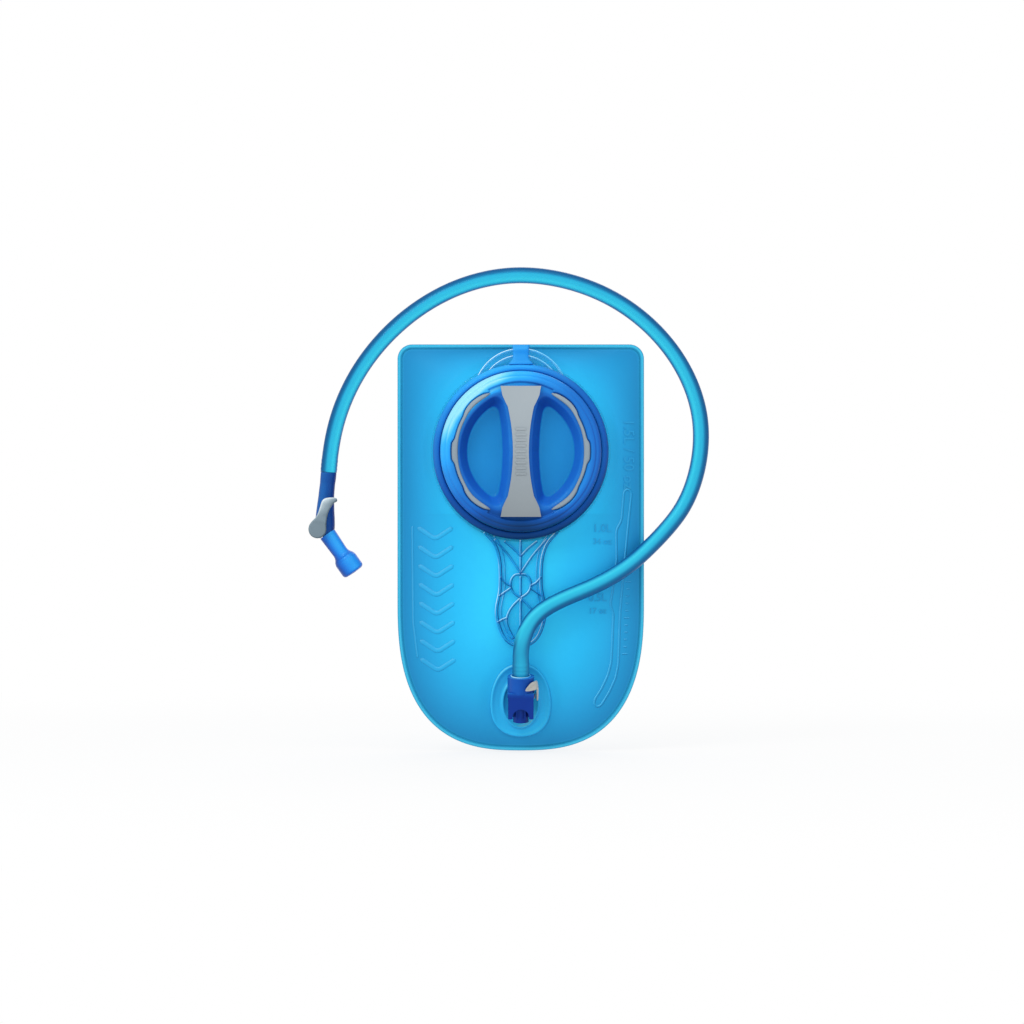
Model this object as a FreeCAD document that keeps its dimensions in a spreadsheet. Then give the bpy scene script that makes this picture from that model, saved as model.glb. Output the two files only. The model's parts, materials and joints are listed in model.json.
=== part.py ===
import FreeCAD, Part
import Sketcher
import math
import os

# Hydration bladder: a soft film reservoir with a big screw-cap filler port, a clear
# ribbed handle, a quick-release outlet, a drink tube and a bite valve with a shut-off.
# Frame: the reservoir hangs, +Z runs from the outlet end to the cap end, +X is to the
# right of a person facing the cap and -Y points out of the cap.  The origin is where
# the cap axis meets the flat back of the reservoir.
# Most pieces are drawn in a face frame (x, y = height, z = depth out of the back) and
# turned into the shared frame by a quarter turn about X.

vec = FreeCAD.Vector
doc = FreeCAD.newDocument("hydration_bladder")
sheet = doc.addObject("Spreadsheet::Sheet", "Dimensions")
sheet.Label = "Dimensions"
aliases = []
nodes = []


class Size(float):
    """A length that carries the spreadsheet formula it came from."""

    def __new__(cls, value, formula):
        size = float.__new__(cls, value)
        size.formula = formula
        return size

    def __add__(self, other):
        return combine(float(self) + float(other), self, "+", other)

    def __radd__(self, other):
        return combine(float(other) + float(self), other, "+", self)

    def __sub__(self, other):
        return combine(float(self) - float(other), self, "-", other)

    def __rsub__(self, other):
        return combine(float(other) - float(self), other, "-", self)

    def __mul__(self, other):
        return combine(float(self) * float(other), self, "*", other)

    def __neg__(self):
        return Size(-float(self), f"(-({self.formula}))")


def formula_of(value):
    return value.formula if isinstance(value, Size) else "%.9g" % value


def combine(value, left, sign, right):
    return Size(value, f"({formula_of(left)} {sign} {formula_of(right)})")


def dim(alias, value, note):
    """Add a spreadsheet row and return its value as a Size."""
    aliases.append(alias)
    row = len(aliases)
    sheet.set(f"A{row}", alias)
    sheet.set(f"B{row}", str(value))
    sheet.set(f"C{row}", note)
    sheet.setAlias(f"B{row}", alias)
    return Size(value, f"Dimensions.{alias}")


# ---- driving dimensions, millimetres --------------------------------------------
bag_half = dim("bag_half_width", 80.3, "half width of the reservoir")
bag_top = dim("bag_top", 70.3, "top edge above the cap axis")
bag_mid = dim("bag_lower_start", 96.1, "where the rounded lower end starts, below the cap axis")
bag_low = dim("bag_lower_length", 98.15, "length of the rounded lower end")
bag_corner = dim("bag_corner", 9.5, "top corner radius")
bag_round = dim("bag_roundness", 2.68, "superellipse power of the lower end")
weld = dim("weld_width", 3.0, "edge weld width")
rim = dim("rim_depth", 14.0, "edge weld plane above the back")
swell = dim("front_swell", 15.4, "front film rise above the weld plane")
film = dim("film_thickness", 0.5, "film thickness")
port_deck = dim("port_deck", 29.95, "film level around the port")

neck_in = dim("neck_bore_radius", 43.6, "filler neck bore")
neck_out = dim("neck_wall_radius", 46.0, "filler neck outside")
neck_flange = dim("neck_flange_radius", 51.4, "weld flange of the neck")
neck_top = dim("neck_top", 41.6, "lip of the neck above the back")
thread_lead = dim("thread_lead", 12.0, "thread lead per turn, three starts")
neck_crest = dim("neck_thread_crest", 47.5, "neck thread crest radius")
cap_crest = dim("cap_thread_crest", 46.5, "cap thread crest radius")

cap_radius = dim("cap_radius", 51.9, "cap outside radius")
cap_bore = dim("cap_skirt_bore", 48.3, "inside of the cap skirt")
cap_base = dim("cap_skirt_base", 33.2, "cap skirt bottom above the back")
cap_shelf = dim("cap_shelf", 46.5, "shelf that carries the soft grips")
cap_dish = dim("cap_dish_floor", 34.0, "floor of the two hand pockets")
dish_radius = dim("cap_dish_radius", 40.3, "hand pocket rim radius")
grip_top = dim("grip_pad_top", 50.2, "top of the soft grip bar")
grip_end = dim("grip_pad_end_half", 13.0, "half width of the grip bar at its ends")
grip_long = dim("grip_pad_half_length", 42.0, "half length of the grip bar")
ring_radius = dim("tether_ring_radius", 56.9, "tether ring outside radius")
ring_in = dim("tether_ring_bore", 52.3, "tether ring bore radius")
ring_low = dim("tether_ring_base", 31.9, "tether ring bottom above the back")
ring_top = dim("tether_ring_top", 38.0, "tether ring top above the back")

frame_radius = dim("frame_ring_radius", 58.0, "handle frame ring radius")
frame_low = dim("frame_base", 30.15, "handle frame bottom above the back")
frame_top = dim("frame_plate_top", 31.5, "handle plate top above the back")
rib_top = dim("frame_rib_top", 33.0, "handle rib top above the back")
strap_half = dim("strap_half_width", 5.1, "half width of the cap tether")

outlet_drop = dim("outlet_drop", 161.0, "outlet centre below the cap axis")
outlet_deck = dim("outlet_deck", 23.2, "outlet flange plane above the back")
outlet_tilt = dim("outlet_tilt", 12.0, "outlet plane tilt, degrees")
socket_rise = dim("socket_axis", 11.0, "socket axis above the outlet flange")
socket_radius = dim("socket_collar_radius", 8.65, "socket collar radius")
plug_radius = dim("plug_radius", 4.4, "tube connector plug radius")
socket_bore = dim("socket_bore_radius", 4.6, "socket bore radius")
button_travel = dim("button_travel", 1.2, "release button travel")

tube_radius = dim("tube_radius", 5.27, "drink tube outside radius")
tube_bore = dim("tube_bore_radius", 3.5, "drink tube bore radius")
valve_depth = dim("valve_axis", 14.0, "valve axis above the back plane")
hub_radius = dim("lever_hub_radius", 5.8, "shut-off lever hub radius")
spool_radius = dim("spool_radius", 3.8, "shut-off spool radius")
bite_radius = dim("bite_bell_radius", 7.8, "bite valve bell radius")
bite_sleeve = dim("bite_sleeve_radius", 5.1, "bite valve sleeve radius below its flared top")
doc.recompute()


# ---- placements -----------------------------------------------------------------
def at(*place):
    """Shift without turning."""
    return FreeCAD.Placement(vec(*place), FreeCAD.Rotation())


def aim(base, direction):
    """Move the origin to base and swing Z onto direction."""
    return FreeCAD.Placement(base, FreeCAD.Rotation(vec(0, 0, 1), direction))


def tip_over(base, angle):
    """Move the origin to base and turn about X."""
    return FreeCAD.Placement(base, FreeCAD.Rotation(vec(1, 0, 0), angle))


UP = vec(0, 1, 0)
FACE = tip_over(vec(0, 0, 0), 90)
OUTLET = tip_over(vec(0, -outlet_deck, -outlet_drop), 90 + outlet_tilt)
SOCKET = OUTLET.multiply(at(0, 0, socket_rise))
SOCKET_AXIS = SOCKET.multiply(aim(vec(0, 0, 0), UP))  # Z runs along the socket bore

# Shut-off and bite valve, in the face frame
VALVE_AXIS = vec(-0.073, -0.9973, 0)
VALVE_TOP = vec(-125.2, -13.05, valve_depth)
BITE_AXIS = vec(0.578, -0.816, 0)
BITE_BASE = vec(-126.6, -52.5, valve_depth)
LEVER_HUB = vec(-132.0, -50.2, 0)
SPOOL = FACE.multiply(at(*LEVER_HUB))
BITE = FACE.multiply(aim(BITE_BASE, BITE_AXIS))


# ---- modelling helpers ----------------------------------------------------------
def keep(piece, label, placement):
    """Label and place a finished piece, and list it for export."""
    piece.Label = label
    piece.Placement = placement
    nodes.append(piece)


def bind(thing, prop, size):
    """Set a property and tie it to the spreadsheet if the size comes from there."""
    setattr(thing, prop, float(size))
    if isinstance(size, Size):
        thing.setExpression(prop, size.formula)


def add_edge(sketch, start, finish):
    """Add a line or arc; return its index and the ends (1 or 2) at start and finish."""
    first, last = vec(*start[:2]), vec(*finish[:2])
    if len(start) == 2:
        return sketch.addGeometry(Part.LineSegment(first, last), False), 1, 2
    middle = vec(*start[2])
    turn = (middle - first).cross(last - first).z
    sides = (middle - first).Length * (last - middle).Length * (last - first).Length
    forward = turn > 0
    arc = Part.Arc(first, middle, last) if forward else Part.Arc(last, middle, first)
    edge = sketch.addGeometry(arc, False)
    sketch.addConstraint(Sketcher.Constraint("Radius", edge, sides / (2.0 * abs(turn))))
    return (edge, 1, 2) if forward else (edge, 2, 1)


def fix(sketch, point, kind, zero_axis, value):
    """Hold one coordinate of a point (edge, end) at its value."""
    if abs(value) < 1e-9:
        sketch.addConstraint(Sketcher.Constraint("PointOnObject", *point, zero_axis))
        return
    origin = (-1, 1)
    if value > 0:
        ends, distance = origin + point, value
    else:
        ends, distance = point + origin, -value
    index = sketch.addConstraint(Sketcher.Constraint(kind, *ends, float(distance)))
    if isinstance(distance, Size):
        sketch.setExpression(f"Constraints[{index}]", distance.formula)


def draw(body, name, loops, role, lift=0.0):
    """A sketch of closed loops.  A vertex is (x, y) or (x, y, middle), where middle is
    a point that the arc to the next vertex runs through."""
    sketch = body.newObject("Sketcher::SketchObject", "Sketch_" + name)
    plane = next(item for item in body.Origin.OriginFeatures if item.Role == role)
    sketch.AttachmentSupport = [(plane, "")]
    sketch.MapMode = "FlatFace"
    sketch.AttachmentOffset = at(0, 0, lift)
    if isinstance(lift, Size):
        sketch.setExpression("AttachmentOffset.Base.z", lift.formula)
    for loop in loops:
        followers = loop[1:] + loop[:1]
        edges = [add_edge(sketch, start, finish) for start, finish in zip(loop, followers)]
        for (edge, _, tail), (following, head, _) in zip(edges, edges[1:] + edges[:1]):
            sketch.addConstraint(
                Sketcher.Constraint("Coincident", edge, tail, following, head))
        for (edge, head, _), vertex in zip(edges, loop):
            fix(sketch, (edge, head), "DistanceX", -2, vertex[0])
            fix(sketch, (edge, head), "DistanceY", -1, vertex[1])
    return sketch


def new_body(name):
    return doc.addObject("PartDesign::Body", "Body_" + name)


def turned(name, loop, angle=360.0, midplane=False):
    """A body made by revolving (radius, height) points about its own Z."""
    body = new_body(name)
    sketch = draw(body, name, [loop], "XZ_Plane")
    turn = body.newObject("PartDesign::Revolution", "Turn_" + name)
    turn.Profile = sketch
    turn.ReferenceAxis = (sketch, ["V_Axis"])
    turn.Angle = angle
    turn.Midplane = midplane
    body.Tip = turn
    return body


def pad(body, name, loops, low, high):
    sketch = draw(body, name, loops, "XY_Plane", low)
    feature = body.newObject("PartDesign::Pad", "Pad_" + name)
    feature.Profile = sketch
    bind(feature, "Length", high - low)
    body.Tip = feature
    return feature


def rod(name, radius, height, base=vec(0, 0, 0), direction=vec(0, 0, 1)):
    cylinder = doc.addObject("Part::Cylinder", "Rod_" + name)
    bind(cylinder, "Radius", radius)
    bind(cylinder, "Height", height)
    cylinder.Placement = aim(base, direction)
    return cylinder


def block(name, length, width, height, base):
    box = doc.addObject("Part::Box", "Box_" + name)
    bind(box, "Length", length)
    bind(box, "Width", width)
    bind(box, "Height", height)
    box.Placement = at(*base)
    return box


def bar(name, start, finish, width, low, high):
    """A straight rib centred on the line between two face points."""
    run_x, run_y = finish[0] - start[0], finish[1] - start[1]
    box = doc.addObject("Part::Box", "Bar_" + name)
    box.Length = math.hypot(run_x, run_y)
    box.Width = width
    bind(box, "Height", high - low)
    angle = math.atan2(run_y, run_x)
    shift = vec(math.sin(angle), -math.cos(angle), 0) * (width / 2.0)
    box.Placement = FreeCAD.Placement(
        vec(*start, low) + shift, FreeCAD.Rotation(vec(0, 0, 1), math.degrees(angle)))
    return box


def fuse(name, shapes):
    feature = doc.addObject("Part::MultiFuse", "Fuse_" + name)
    feature.Shapes = shapes
    return feature


def cut(name, base, tool):
    feature = doc.addObject("Part::Cut", "Cut_" + name)
    feature.Base = base
    feature.Tool = tool
    return feature


def solid(name, shape):
    feature = doc.addObject("Part::Feature", "Solid_" + name)
    feature.Shape = shape
    return feature


def spline(points, closed=False):
    curve = Part.BSplineCurve()
    curve.interpolate(points, PeriodicFlag=closed)
    return curve.toShape()


def prism(edges, height):
    return Part.Face(Part.Wire(edges)).extrude(vec(0, 0, height))


def thread(name, root, crest, root_half, crest_half, base, sweep, sink):
    """Three thread runs on a wall of radius root; sink moves their foot into the wall.
    The two half widths are along the axis, and sweep is in degrees."""
    foot = root + sink
    runs = []
    for start in range(3):
        helix = Part.makeHelix(thread_lead, thread_lead * sweep / 360.0, foot)
        profile = Part.makePolygon([
            vec(foot, 0, -root_half), vec(crest, 0, -crest_half), vec(crest, 0, crest_half),
            vec(foot, 0, root_half), vec(foot, 0, -root_half)])
        run = Part.Wire(helix.Edges).makePipeShell([profile], True, True)
        run.Placement = FreeCAD.Placement(
            vec(0, 0, base), FreeCAD.Rotation(vec(0, 0, 1), 120.0 * start))
        runs.append(solid(f"{name}_thread_{start + 1}", run))
    return runs


def coil(radius, wire_radius, pitch, height):
    helix = Part.makeHelix(pitch, height, radius)
    profile = Part.Wire([Part.makeCircle(wire_radius, vec(radius, 0, 0), vec(0, 1, 0))])
    return Part.Wire(helix.Edges).makePipeShell([profile], True, True)


def o_rings(label, heights, placement):
    """Equal O-rings at the given heights, fused into one piece."""
    rings = []
    for number, height in enumerate(heights, 1):
        ring = doc.addObject("Part::Torus", f"Torus_{label}_{number}")
        ring.Radius2 = 0.57
        ring.Radius1 = O_RING_RADIUS[label]
        ring.Placement = at(0, 0, height)
        rings.append(ring)
    keep(fuse(label, rings), label, placement)


O_RING_RADIUS = {"connector_orings": 3.93, "spool_orings": 3.37}  # ring centre line


# ---- reservoir film -------------------------------------------------------------
GRID = 4.0                      # spacing of the film surface points
PORT_BLEND = (52.0, 66.0)       # film rises to the port deck between these radii
OUTLET_HALF = (21.0, 26.0)      # half axes of the flat patch under the outlet
PANEL_GAP = 0.05                # gap between the front film and the weld plane
BACK_THICK = 0.8


def fullness(x, y):
    """0 on the weld line, 1 in the middle of the reservoir."""
    power = float(bag_round)
    across = abs(x) / (bag_half - weld)
    if y < -bag_mid:
        along = (-bag_mid - y) / (bag_low - weld)
        full = 1.0 - across ** power - along ** power
    else:
        full = (1.0 - across ** power) * (1.0 - math.exp(-(bag_top - weld - y) / 14.0))
    return max(full, -0.25)


def soft_fullness(x, y):
    """Fullness rounded off smoothly to zero outside the weld line."""
    full = fullness(x, y)
    return 0.5 * (full + math.sqrt(full * full + 0.03 * 0.03))


def ease(start, finish, value):
    """Smooth step from 0 at start to 1 at finish."""
    part = min(1.0, max(0.0, (value - start) / (finish - start)))
    return part * part * (3.0 - 2.0 * part)


def front_level(x, y):
    level = float(rim) + PANEL_GAP + float(film)
    level += float(swell) * min(1.0, soft_fullness(x, y))
    near_port = 1.0 - ease(*PORT_BLEND, math.hypot(x, y))
    level = near_port * float(port_deck) + (1.0 - near_port) * level
    above_outlet = y + float(outlet_drop)
    reach = math.hypot(x / OUTLET_HALF[0], (above_outlet + 0.2) / OUTLET_HALF[1])
    near_outlet = 1.0 - ease(1.0, 1.4, reach)
    flat = float(outlet_deck) - 0.12 + above_outlet * math.tan(math.radians(outlet_tilt))
    return near_outlet * flat + (1.0 - near_outlet) * level


def back_level(x, y):
    flatness = min(1.0, soft_fullness(x, y) / 0.8)
    return -0.3 + (float(rim) - 0.55) * (1.0 - flatness) ** 2


def film_slab(level, thickness):
    columns = [-84.0 + GRID * i for i in range(43)]
    rows = [-200.0 + GRID * i for i in range(70)]
    surface = Part.BSplineSurface()
    surface.interpolate([[vec(x, y, level(x, y)) for y in rows] for x in columns])
    return surface.toShape().extrude(vec(0, 0, thickness))


def outline_prism(low, high):
    """The reservoir outline: superelliptic lower end, straight sides, round top corners."""
    half, lower, top, radius = map(float, (bag_half, -bag_mid, bag_top, bag_corner))
    power = 2.0 / float(bag_round)
    points = []
    for i in range(41):
        angle = math.pi * i / 40.0
        cosine = math.cos(angle)
        x = half * math.copysign(abs(cosine) ** power, cosine)
        points.append(vec(x, lower - float(bag_low) * math.sin(angle) ** power, low))
    inset = radius * (1 - math.sqrt(0.5))

    def line(*ends):
        return Part.LineSegment(*[vec(x, y, low) for x, y in ends]).toShape()

    def arc(*stations):
        return Part.Arc(*[vec(x, y, low) for x, y in stations]).toShape()

    return prism([
        spline(points),
        line((-half, lower), (-half, top - radius)),
        arc((-half, top - radius), (-half + inset, top - inset), (-half + radius, top)),
        line((-half + radius, top), (half - radius, top)),
        arc((half - radius, top), (half - inset, top - inset), (half, top - radius)),
        line((half, top - radius), (half, lower))], high - low)


FEED_Y = -6.2  # feed hole from reservoir to socket, along the outlet's own y


def build_front_panel():
    raw = solid("front_raw", film_slab(front_level, -film).common(outline_prism(-5.0, 60.0)))
    port = rod("port_hole", neck_out + 0.4, 30.0, vec(0, 0, 20))
    feed = rod("feed_hole", 3.2, 14.0)
    feed.Placement = FACE.inverse().multiply(OUTLET).multiply(at(0, FEED_Y, -7))
    panel = cut("front_feed", cut("front_port", raw, port), feed)
    keep(panel, "front_panel", FACE)


def build_back_panel():
    slab = film_slab(back_level, BACK_THICK)
    panel = slab.common(outline_prism(0.0, float(rim) - 0.45))
    keep(solid("back_panel", panel), "back_panel", FACE)


# ---- filler neck with its three-start thread ------------------------------------
def build_filler_neck():
    base, flange_top, chamfer = 27.6, 29.35, 0.6
    wall = turned("filler_neck", [
        (neck_in, base), (neck_flange, base), (neck_flange, 28.6),
        (neck_flange - 1.0, flange_top), (neck_out, flange_top),
        (neck_out, neck_top - chamfer), (neck_out - chamfer, neck_top),
        (neck_in + chamfer, neck_top), (neck_in, neck_top - chamfer)])
    runs = thread("neck", neck_out, neck_crest, root_half=1.1, crest_half=0.6,
                  base=34.2, sweep=150.0, sink=-0.25)
    keep(fuse("filler_neck", [wall] + runs), "filler_neck", FACE)


# ---- clear handle frame: ring, hang loop, ribbed handle --------------------------
# Right edge of the handle (x, y), from the ring down to the tip on the centre line
HANDLE_EDGE = [
    (24.4, -52.5), (18.7, -59.0), (14.9, -69.6), (14.2, -79.2), (14.9, -91.6), (16.3, -98.3),
    (16.6, -105.9), (14.9, -113.5), (11.1, -121.2), (6.2, -125.2), (0.0, -126.4)]
# Ribs of the right half: name, start, end; the left half mirrors them
HANDLE_RIBS = [
    ("v1", (0, -78.5), (17.2, -52.0)),
    ("v2", (0, -67.5), (11.6, -54.5)),
    ("d1", (0, -79.2), (6.6, -87.6)),
    ("d2", (6.6, -87.6), (0, -94.2)),
    ("s1", (6.0, -87.0), (13.8, -81.1)),
    ("s2", (6.0, -88.2), (14.4, -93.5)),
    ("t1", (0, -94.5), (8.9, -107.8)),
    ("t2", (8.9, -107.8), (14.6, -110.4)),
    ("t3", (8.9, -107.8), (4.4, -120.3))]


def handle_prism(inset, base, height):
    """The handle outline moved inward by inset and raised from base."""
    right = []
    for i, (x, y) in enumerate(HANDLE_EDGE[:-1]):
        before, after = HANDLE_EDGE[max(0, i - 1)], HANDLE_EDGE[i + 1]
        along_x, along_y = after[0] - before[0], after[1] - before[1]
        scale = inset / math.hypot(along_x, along_y)
        right.append(vec(x + along_y * scale, y - along_x * scale, base))
    tip = vec(0, HANDLE_EDGE[-1][1] + inset, base)
    left = [vec(-point.x, point.y, base) for point in reversed(right)]
    # Straight closing edges run under the ring
    corners = [left[-1], vec(-20, -46, base), vec(20, -46, base), right[0]]
    closing = [Part.LineSegment(*pair).toShape() for pair in zip(corners, corners[1:])]
    return prism([spline(right + [tip] + left)] + closing, height)


def build_handle_frame():
    thickness = frame_top - frame_low
    bead_width, sunk, loop_y = 2.3, 0.3, 36.3
    plate = solid("handle_plate", handle_prism(0.0, frame_low, thickness))
    bead_outer = handle_prism(0.0, frame_top - sunk, rib_top - frame_top + sunk)
    bead_inner = handle_prism(bead_width, frame_top - 0.5, 4.0)
    bead = solid("handle_bead", bead_outer.cut(bead_inner))
    ring = rod("frame_ring", frame_radius, thickness, vec(0, 0, frame_low))
    arch_outer = rod("arch_out", 30.8, 2.2, vec(0, loop_y, frame_low))
    arch_inner = rod("arch_in", 25.0, 6.0, vec(0, loop_y, frame_low - 1))
    arch = cut("arch", arch_outer, arch_inner)
    ribs = [bar("spine", (0, -54), (0, -118.5), 2.1, frame_top - sunk, rib_top)]
    for side, suffix in ((-1, "l"), (1, "r")):
        for name, start, finish in HANDLE_RIBS:
            ribs.append(bar(
                name + suffix, (side * start[0], start[1]), (side * finish[0], finish[1]),
                1.8, frame_top - sunk, rib_top - 0.3))
    whole = fuse("frame_all", [plate, bead, ring, arch] + ribs)
    bore = rod("frame_bore", neck_out + 0.5, 12.0, vec(0, 0, 26))
    ring_clear = rod("frame_clear", ring_radius + 0.5, 12.0, vec(0, 0, frame_top))
    bored = cut("frame_bored", whole, bore)
    keep(cut("handle_frame", bored, ring_clear), "handle_frame", FACE)


# ---- cap ------------------------------------------------------------------------
GRIP_BASE = cap_shelf + 0.05


def build_cap_body():
    lid_edge, skirt_top, groove = neck_in - 0.7, 43.6, cap_radius - 0.9
    cap = turned("cap", [
        (0, cap_dish - 2.0), (36.4, cap_dish - 2.0), (lid_edge, 40.5), (lid_edge, skirt_top),
        (cap_bore, skirt_top), (cap_bore, cap_base), (cap_radius, cap_base),
        (cap_radius, 34.9), (groove, 34.9), (groove, 36.5), (cap_radius, 36.5),
        (cap_radius, skirt_top, (51.05, 46.15)), (48.1, 47.45), (48.1, 48.1, (46.2, 48.75)),
        (44.3, 48.1), (44.3, cap_shelf), (dish_radius, cap_shelf),
        (34.9, cap_dish + 1.2, (34.35, cap_dish + 0.35)), (33.5, cap_dish), (0, cap_dish)])
    # Waisted bar across the dish, between the two hand pockets
    pad(cap, "cap_bar", [[
        (12.2, -36.5), (9.4, -30.5, (6.3, 0)), (9.4, 30.5), (12.2, 36.5),
        (-12.2, 36.5), (-9.4, 30.5, (-6.3, 0)), (-9.4, -30.5), (-12.2, -36.5)]],
        cap_dish - 0.5, cap_shelf)
    runs = thread("cap", cap_bore, cap_crest, root_half=1.0, crest_half=0.5,
                  base=36.2, sweep=100.0, sink=0.25)
    keep(fuse("cap_body", [cap] + runs), "cap_body", FACE)


def build_grip_pad():
    """The soft bar on top of the cap, with a row of cross ribs."""
    grip = new_body("cap_grip_pad")
    pad(grip, "grip_bar", [[
        (grip_end, -grip_long), (11.9, -36.2, (9.7, -31.3)), (8.4, -28.8, (5.1, 0)),
        (8.4, 28.8, (9.7, 31.3)), (11.9, 36.2), (grip_end, grip_long),
        (-grip_end, grip_long), (-11.9, 36.2, (-9.7, 31.3)), (-8.4, 28.8, (-5.1, 0)),
        (-8.4, -28.8, (-9.7, -31.3)), (-11.9, -36.2), (-grip_end, -grip_long)]],
        GRIP_BASE, grip_top - 0.5)
    count, pitch, half_length, half_width = 9, 3.6, 3.3, 0.7
    span = pitch * (count - 1)
    low_y, high_y = -span / 2 - half_width, -span / 2 + half_width
    rib = pad(grip, "grip_rib", [[
        (-half_length, low_y), (half_length, low_y),
        (half_length, high_y), (-half_length, high_y)]], grip_top - 0.7, grip_top)
    doc.recompute()  # the pattern needs a finished rib
    row = grip.newObject("PartDesign::LinearPattern", "Row_grip_rib")
    row.Originals = [rib]
    row.Direction = (rib.Profile[0], ["V_Axis"])
    row.Length = span
    row.Occurrences = count
    grip.Tip = row
    keep(grip, "cap_grip_pad", FACE)


def build_side_grips():
    """Two curved soft strips on the cap shelf, each with three bumps."""
    for label, turn in (("cap_side_grip_right", 0.0), ("cap_side_grip_left", 180.0)):
        grip = turned(label, [
            (41.3, GRIP_BASE), (44.0, GRIP_BASE), (44.0, 48.3), (43.5, 48.8), (41.8, 48.8),
            (41.3, 48.3)], 112.0, True)
        bumps = []
        for middle, half_angle in ((-54.0, 5.0), (0.0, 4.0), (54.0, 5.0)):
            low, high = math.radians(middle - half_angle), math.radians(middle + half_angle)
            bumps.append([
                (radius * math.cos(angle), radius * math.sin(angle))
                for angle, radius in ((low, 40.1), (low, 44.1), (high, 44.1), (high, 40.1))])
        pad(grip, label + "_bumps", bumps, GRIP_BASE, 49.3)
        spin = FreeCAD.Placement(vec(0, 0, 0), FreeCAD.Rotation(vec(0, 0, 1), turn))
        keep(grip, label, FACE.multiply(spin))


def build_cap_seal():
    low, high = neck_top + 0.08, 43.5
    seal = turned("cap_seal", [(43.3, low), (47.2, low), (47.2, high), (43.3, high)])
    keep(seal, "cap_seal", FACE)


def build_tether_ring():
    ring = turned("tether_ring", [
        (49.2, ring_low), (ring_radius - 0.8, ring_low), (ring_radius, ring_low + 0.8),
        (ring_radius, ring_top - 1.2, (56.5, 37.6)), (ring_radius - 1.2, ring_top),
        (ring_in + 0.6, ring_top), (ring_in, ring_top - 0.6), (ring_in, 36.2),
        (51.3, 36.0), (51.3, 35.4), (ring_in, 35.2), (ring_in, 33.0), (49.2, 33.0)])
    keep(ring, "tether_ring", FACE)


def build_tether_strap():
    width, inner_y, base = strap_half * 2, 57.15, 32.6
    top = block("strap_top", width, 11.6, 1.8, vec(-strap_half, inner_y, base))
    hook = block("strap_hook", width, 1.4, 3.9, vec(-strap_half, 67.35, 30.2))
    root = block("strap_root", width, 2.6, 3.6, vec(-strap_half, inner_y, base))
    keep(fuse("tether_strap", [top, hook, root]), "tether_strap", FACE)


# ---- outlet ---------------------------------------------------------------------
# Right edge of the egg-shaped flange (x, y), top to bottom
EGG_EDGE = [(0, 24.9), (10.5, 21.6), (16.4, 13.0), (19.1, 3.0), (19.4, -6.0), (17.6, -14.8),
            (11.6, -21.8), (0, -24.6)]


def oval(half_x, half_y, low, high):
    points = []
    for degrees in range(0, 360, 15):
        angle = math.radians(degrees)
        points.append(vec(half_x * math.cos(angle), -0.5 + half_y * math.sin(angle), low))
    return prism([spline(points, True)], high - low)


def build_outlet_flange():
    """Egg-shaped plate with a raised oval ring and the feed hole."""
    points = [vec(x, y, 0) for x, y in EGG_EDGE]
    points += [vec(-x, y, 0) for x, y in reversed(EGG_EDGE[1:-1])]
    plate = solid("egg_plate", prism([spline(points, True)], 1.6))
    outer, inner = oval(12.4, 17.2, 1.3, 2.3), oval(10.9, 15.6, 1.0, 3.0)
    ring = solid("inner_ring", outer.cut(inner))
    whole = fuse("flange_all", [plate, ring])
    feed = rod("flange_feed", 2.6, 8.0, vec(0, FEED_Y, -3))
    keep(cut("outlet_flange", whole, feed), "outlet_flange", OUTLET)


def build_outlet_socket():
    collar = rod("sock_collar", socket_radius, 10.9, vec(0, 8.0, 0), UP)
    housing = block("sock_body", 16.4, 16.0, 17.4, vec(-8.2, -7.7, -9.35))
    lower = rod("sock_lower", 5.1, 4.6, vec(0, -11.2, 0), UP)
    lip = block("sock_lip", 17.2, 2.6, 16.6, vec(-8.6, 6.6, -8.3))
    # Arched recess in the outward face, cut around a cylindrical core
    arch = new_body("sock_arch")
    pad(arch, "sock_arch", [[(5.3, -8.2), (5.3, -5.9, (0, -1.2)), (-5.3, -5.9), (-5.3, -8.2)]],
        2.4, 9.0)
    core = rod("sock_arch_core", 5.1, 9.0, vec(0, -9.0, 0), UP)
    recess = cut("sock_arch_tool", arch, core)
    flutes = []
    for number, x, z in ((1, -2.6, 3.9), (2, 0.0, 4.5), (3, 2.6, 3.9)):
        flutes.append(block(f"flute_{number}", 0.9, 6.4, 1.4, vec(x - 0.45, -8.6, z)))
    plain = fuse("sock_plain", [collar, housing, lower, lip])
    outside = fuse("sock_shape", [cut("sock_recessed", plain, recess)] + flutes)
    tools = fuse("sock_tools", [
        rod("sock_bore", socket_bore, 18.5, vec(0, 1.0, 0), UP),
        rod("sock_seat", 2.6, 3.0, vec(0, -0.5, 0), UP),
        rod("sock_chamber", 4.3, 9.5, vec(0, -9.5, 0), UP),
        rod("sock_feed", 2.4, 12.0, vec(0, FEED_Y, -12.0)),
        rod("sock_spring", 2.1, 3.0, vec(6.4, SPRING_Y, 0), vec(1, 0, 0))])
    keep(cut("outlet_socket", outside, tools), "outlet_socket", SOCKET)


SPRING_Y = 5.6  # release spring axis, along the socket


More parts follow.
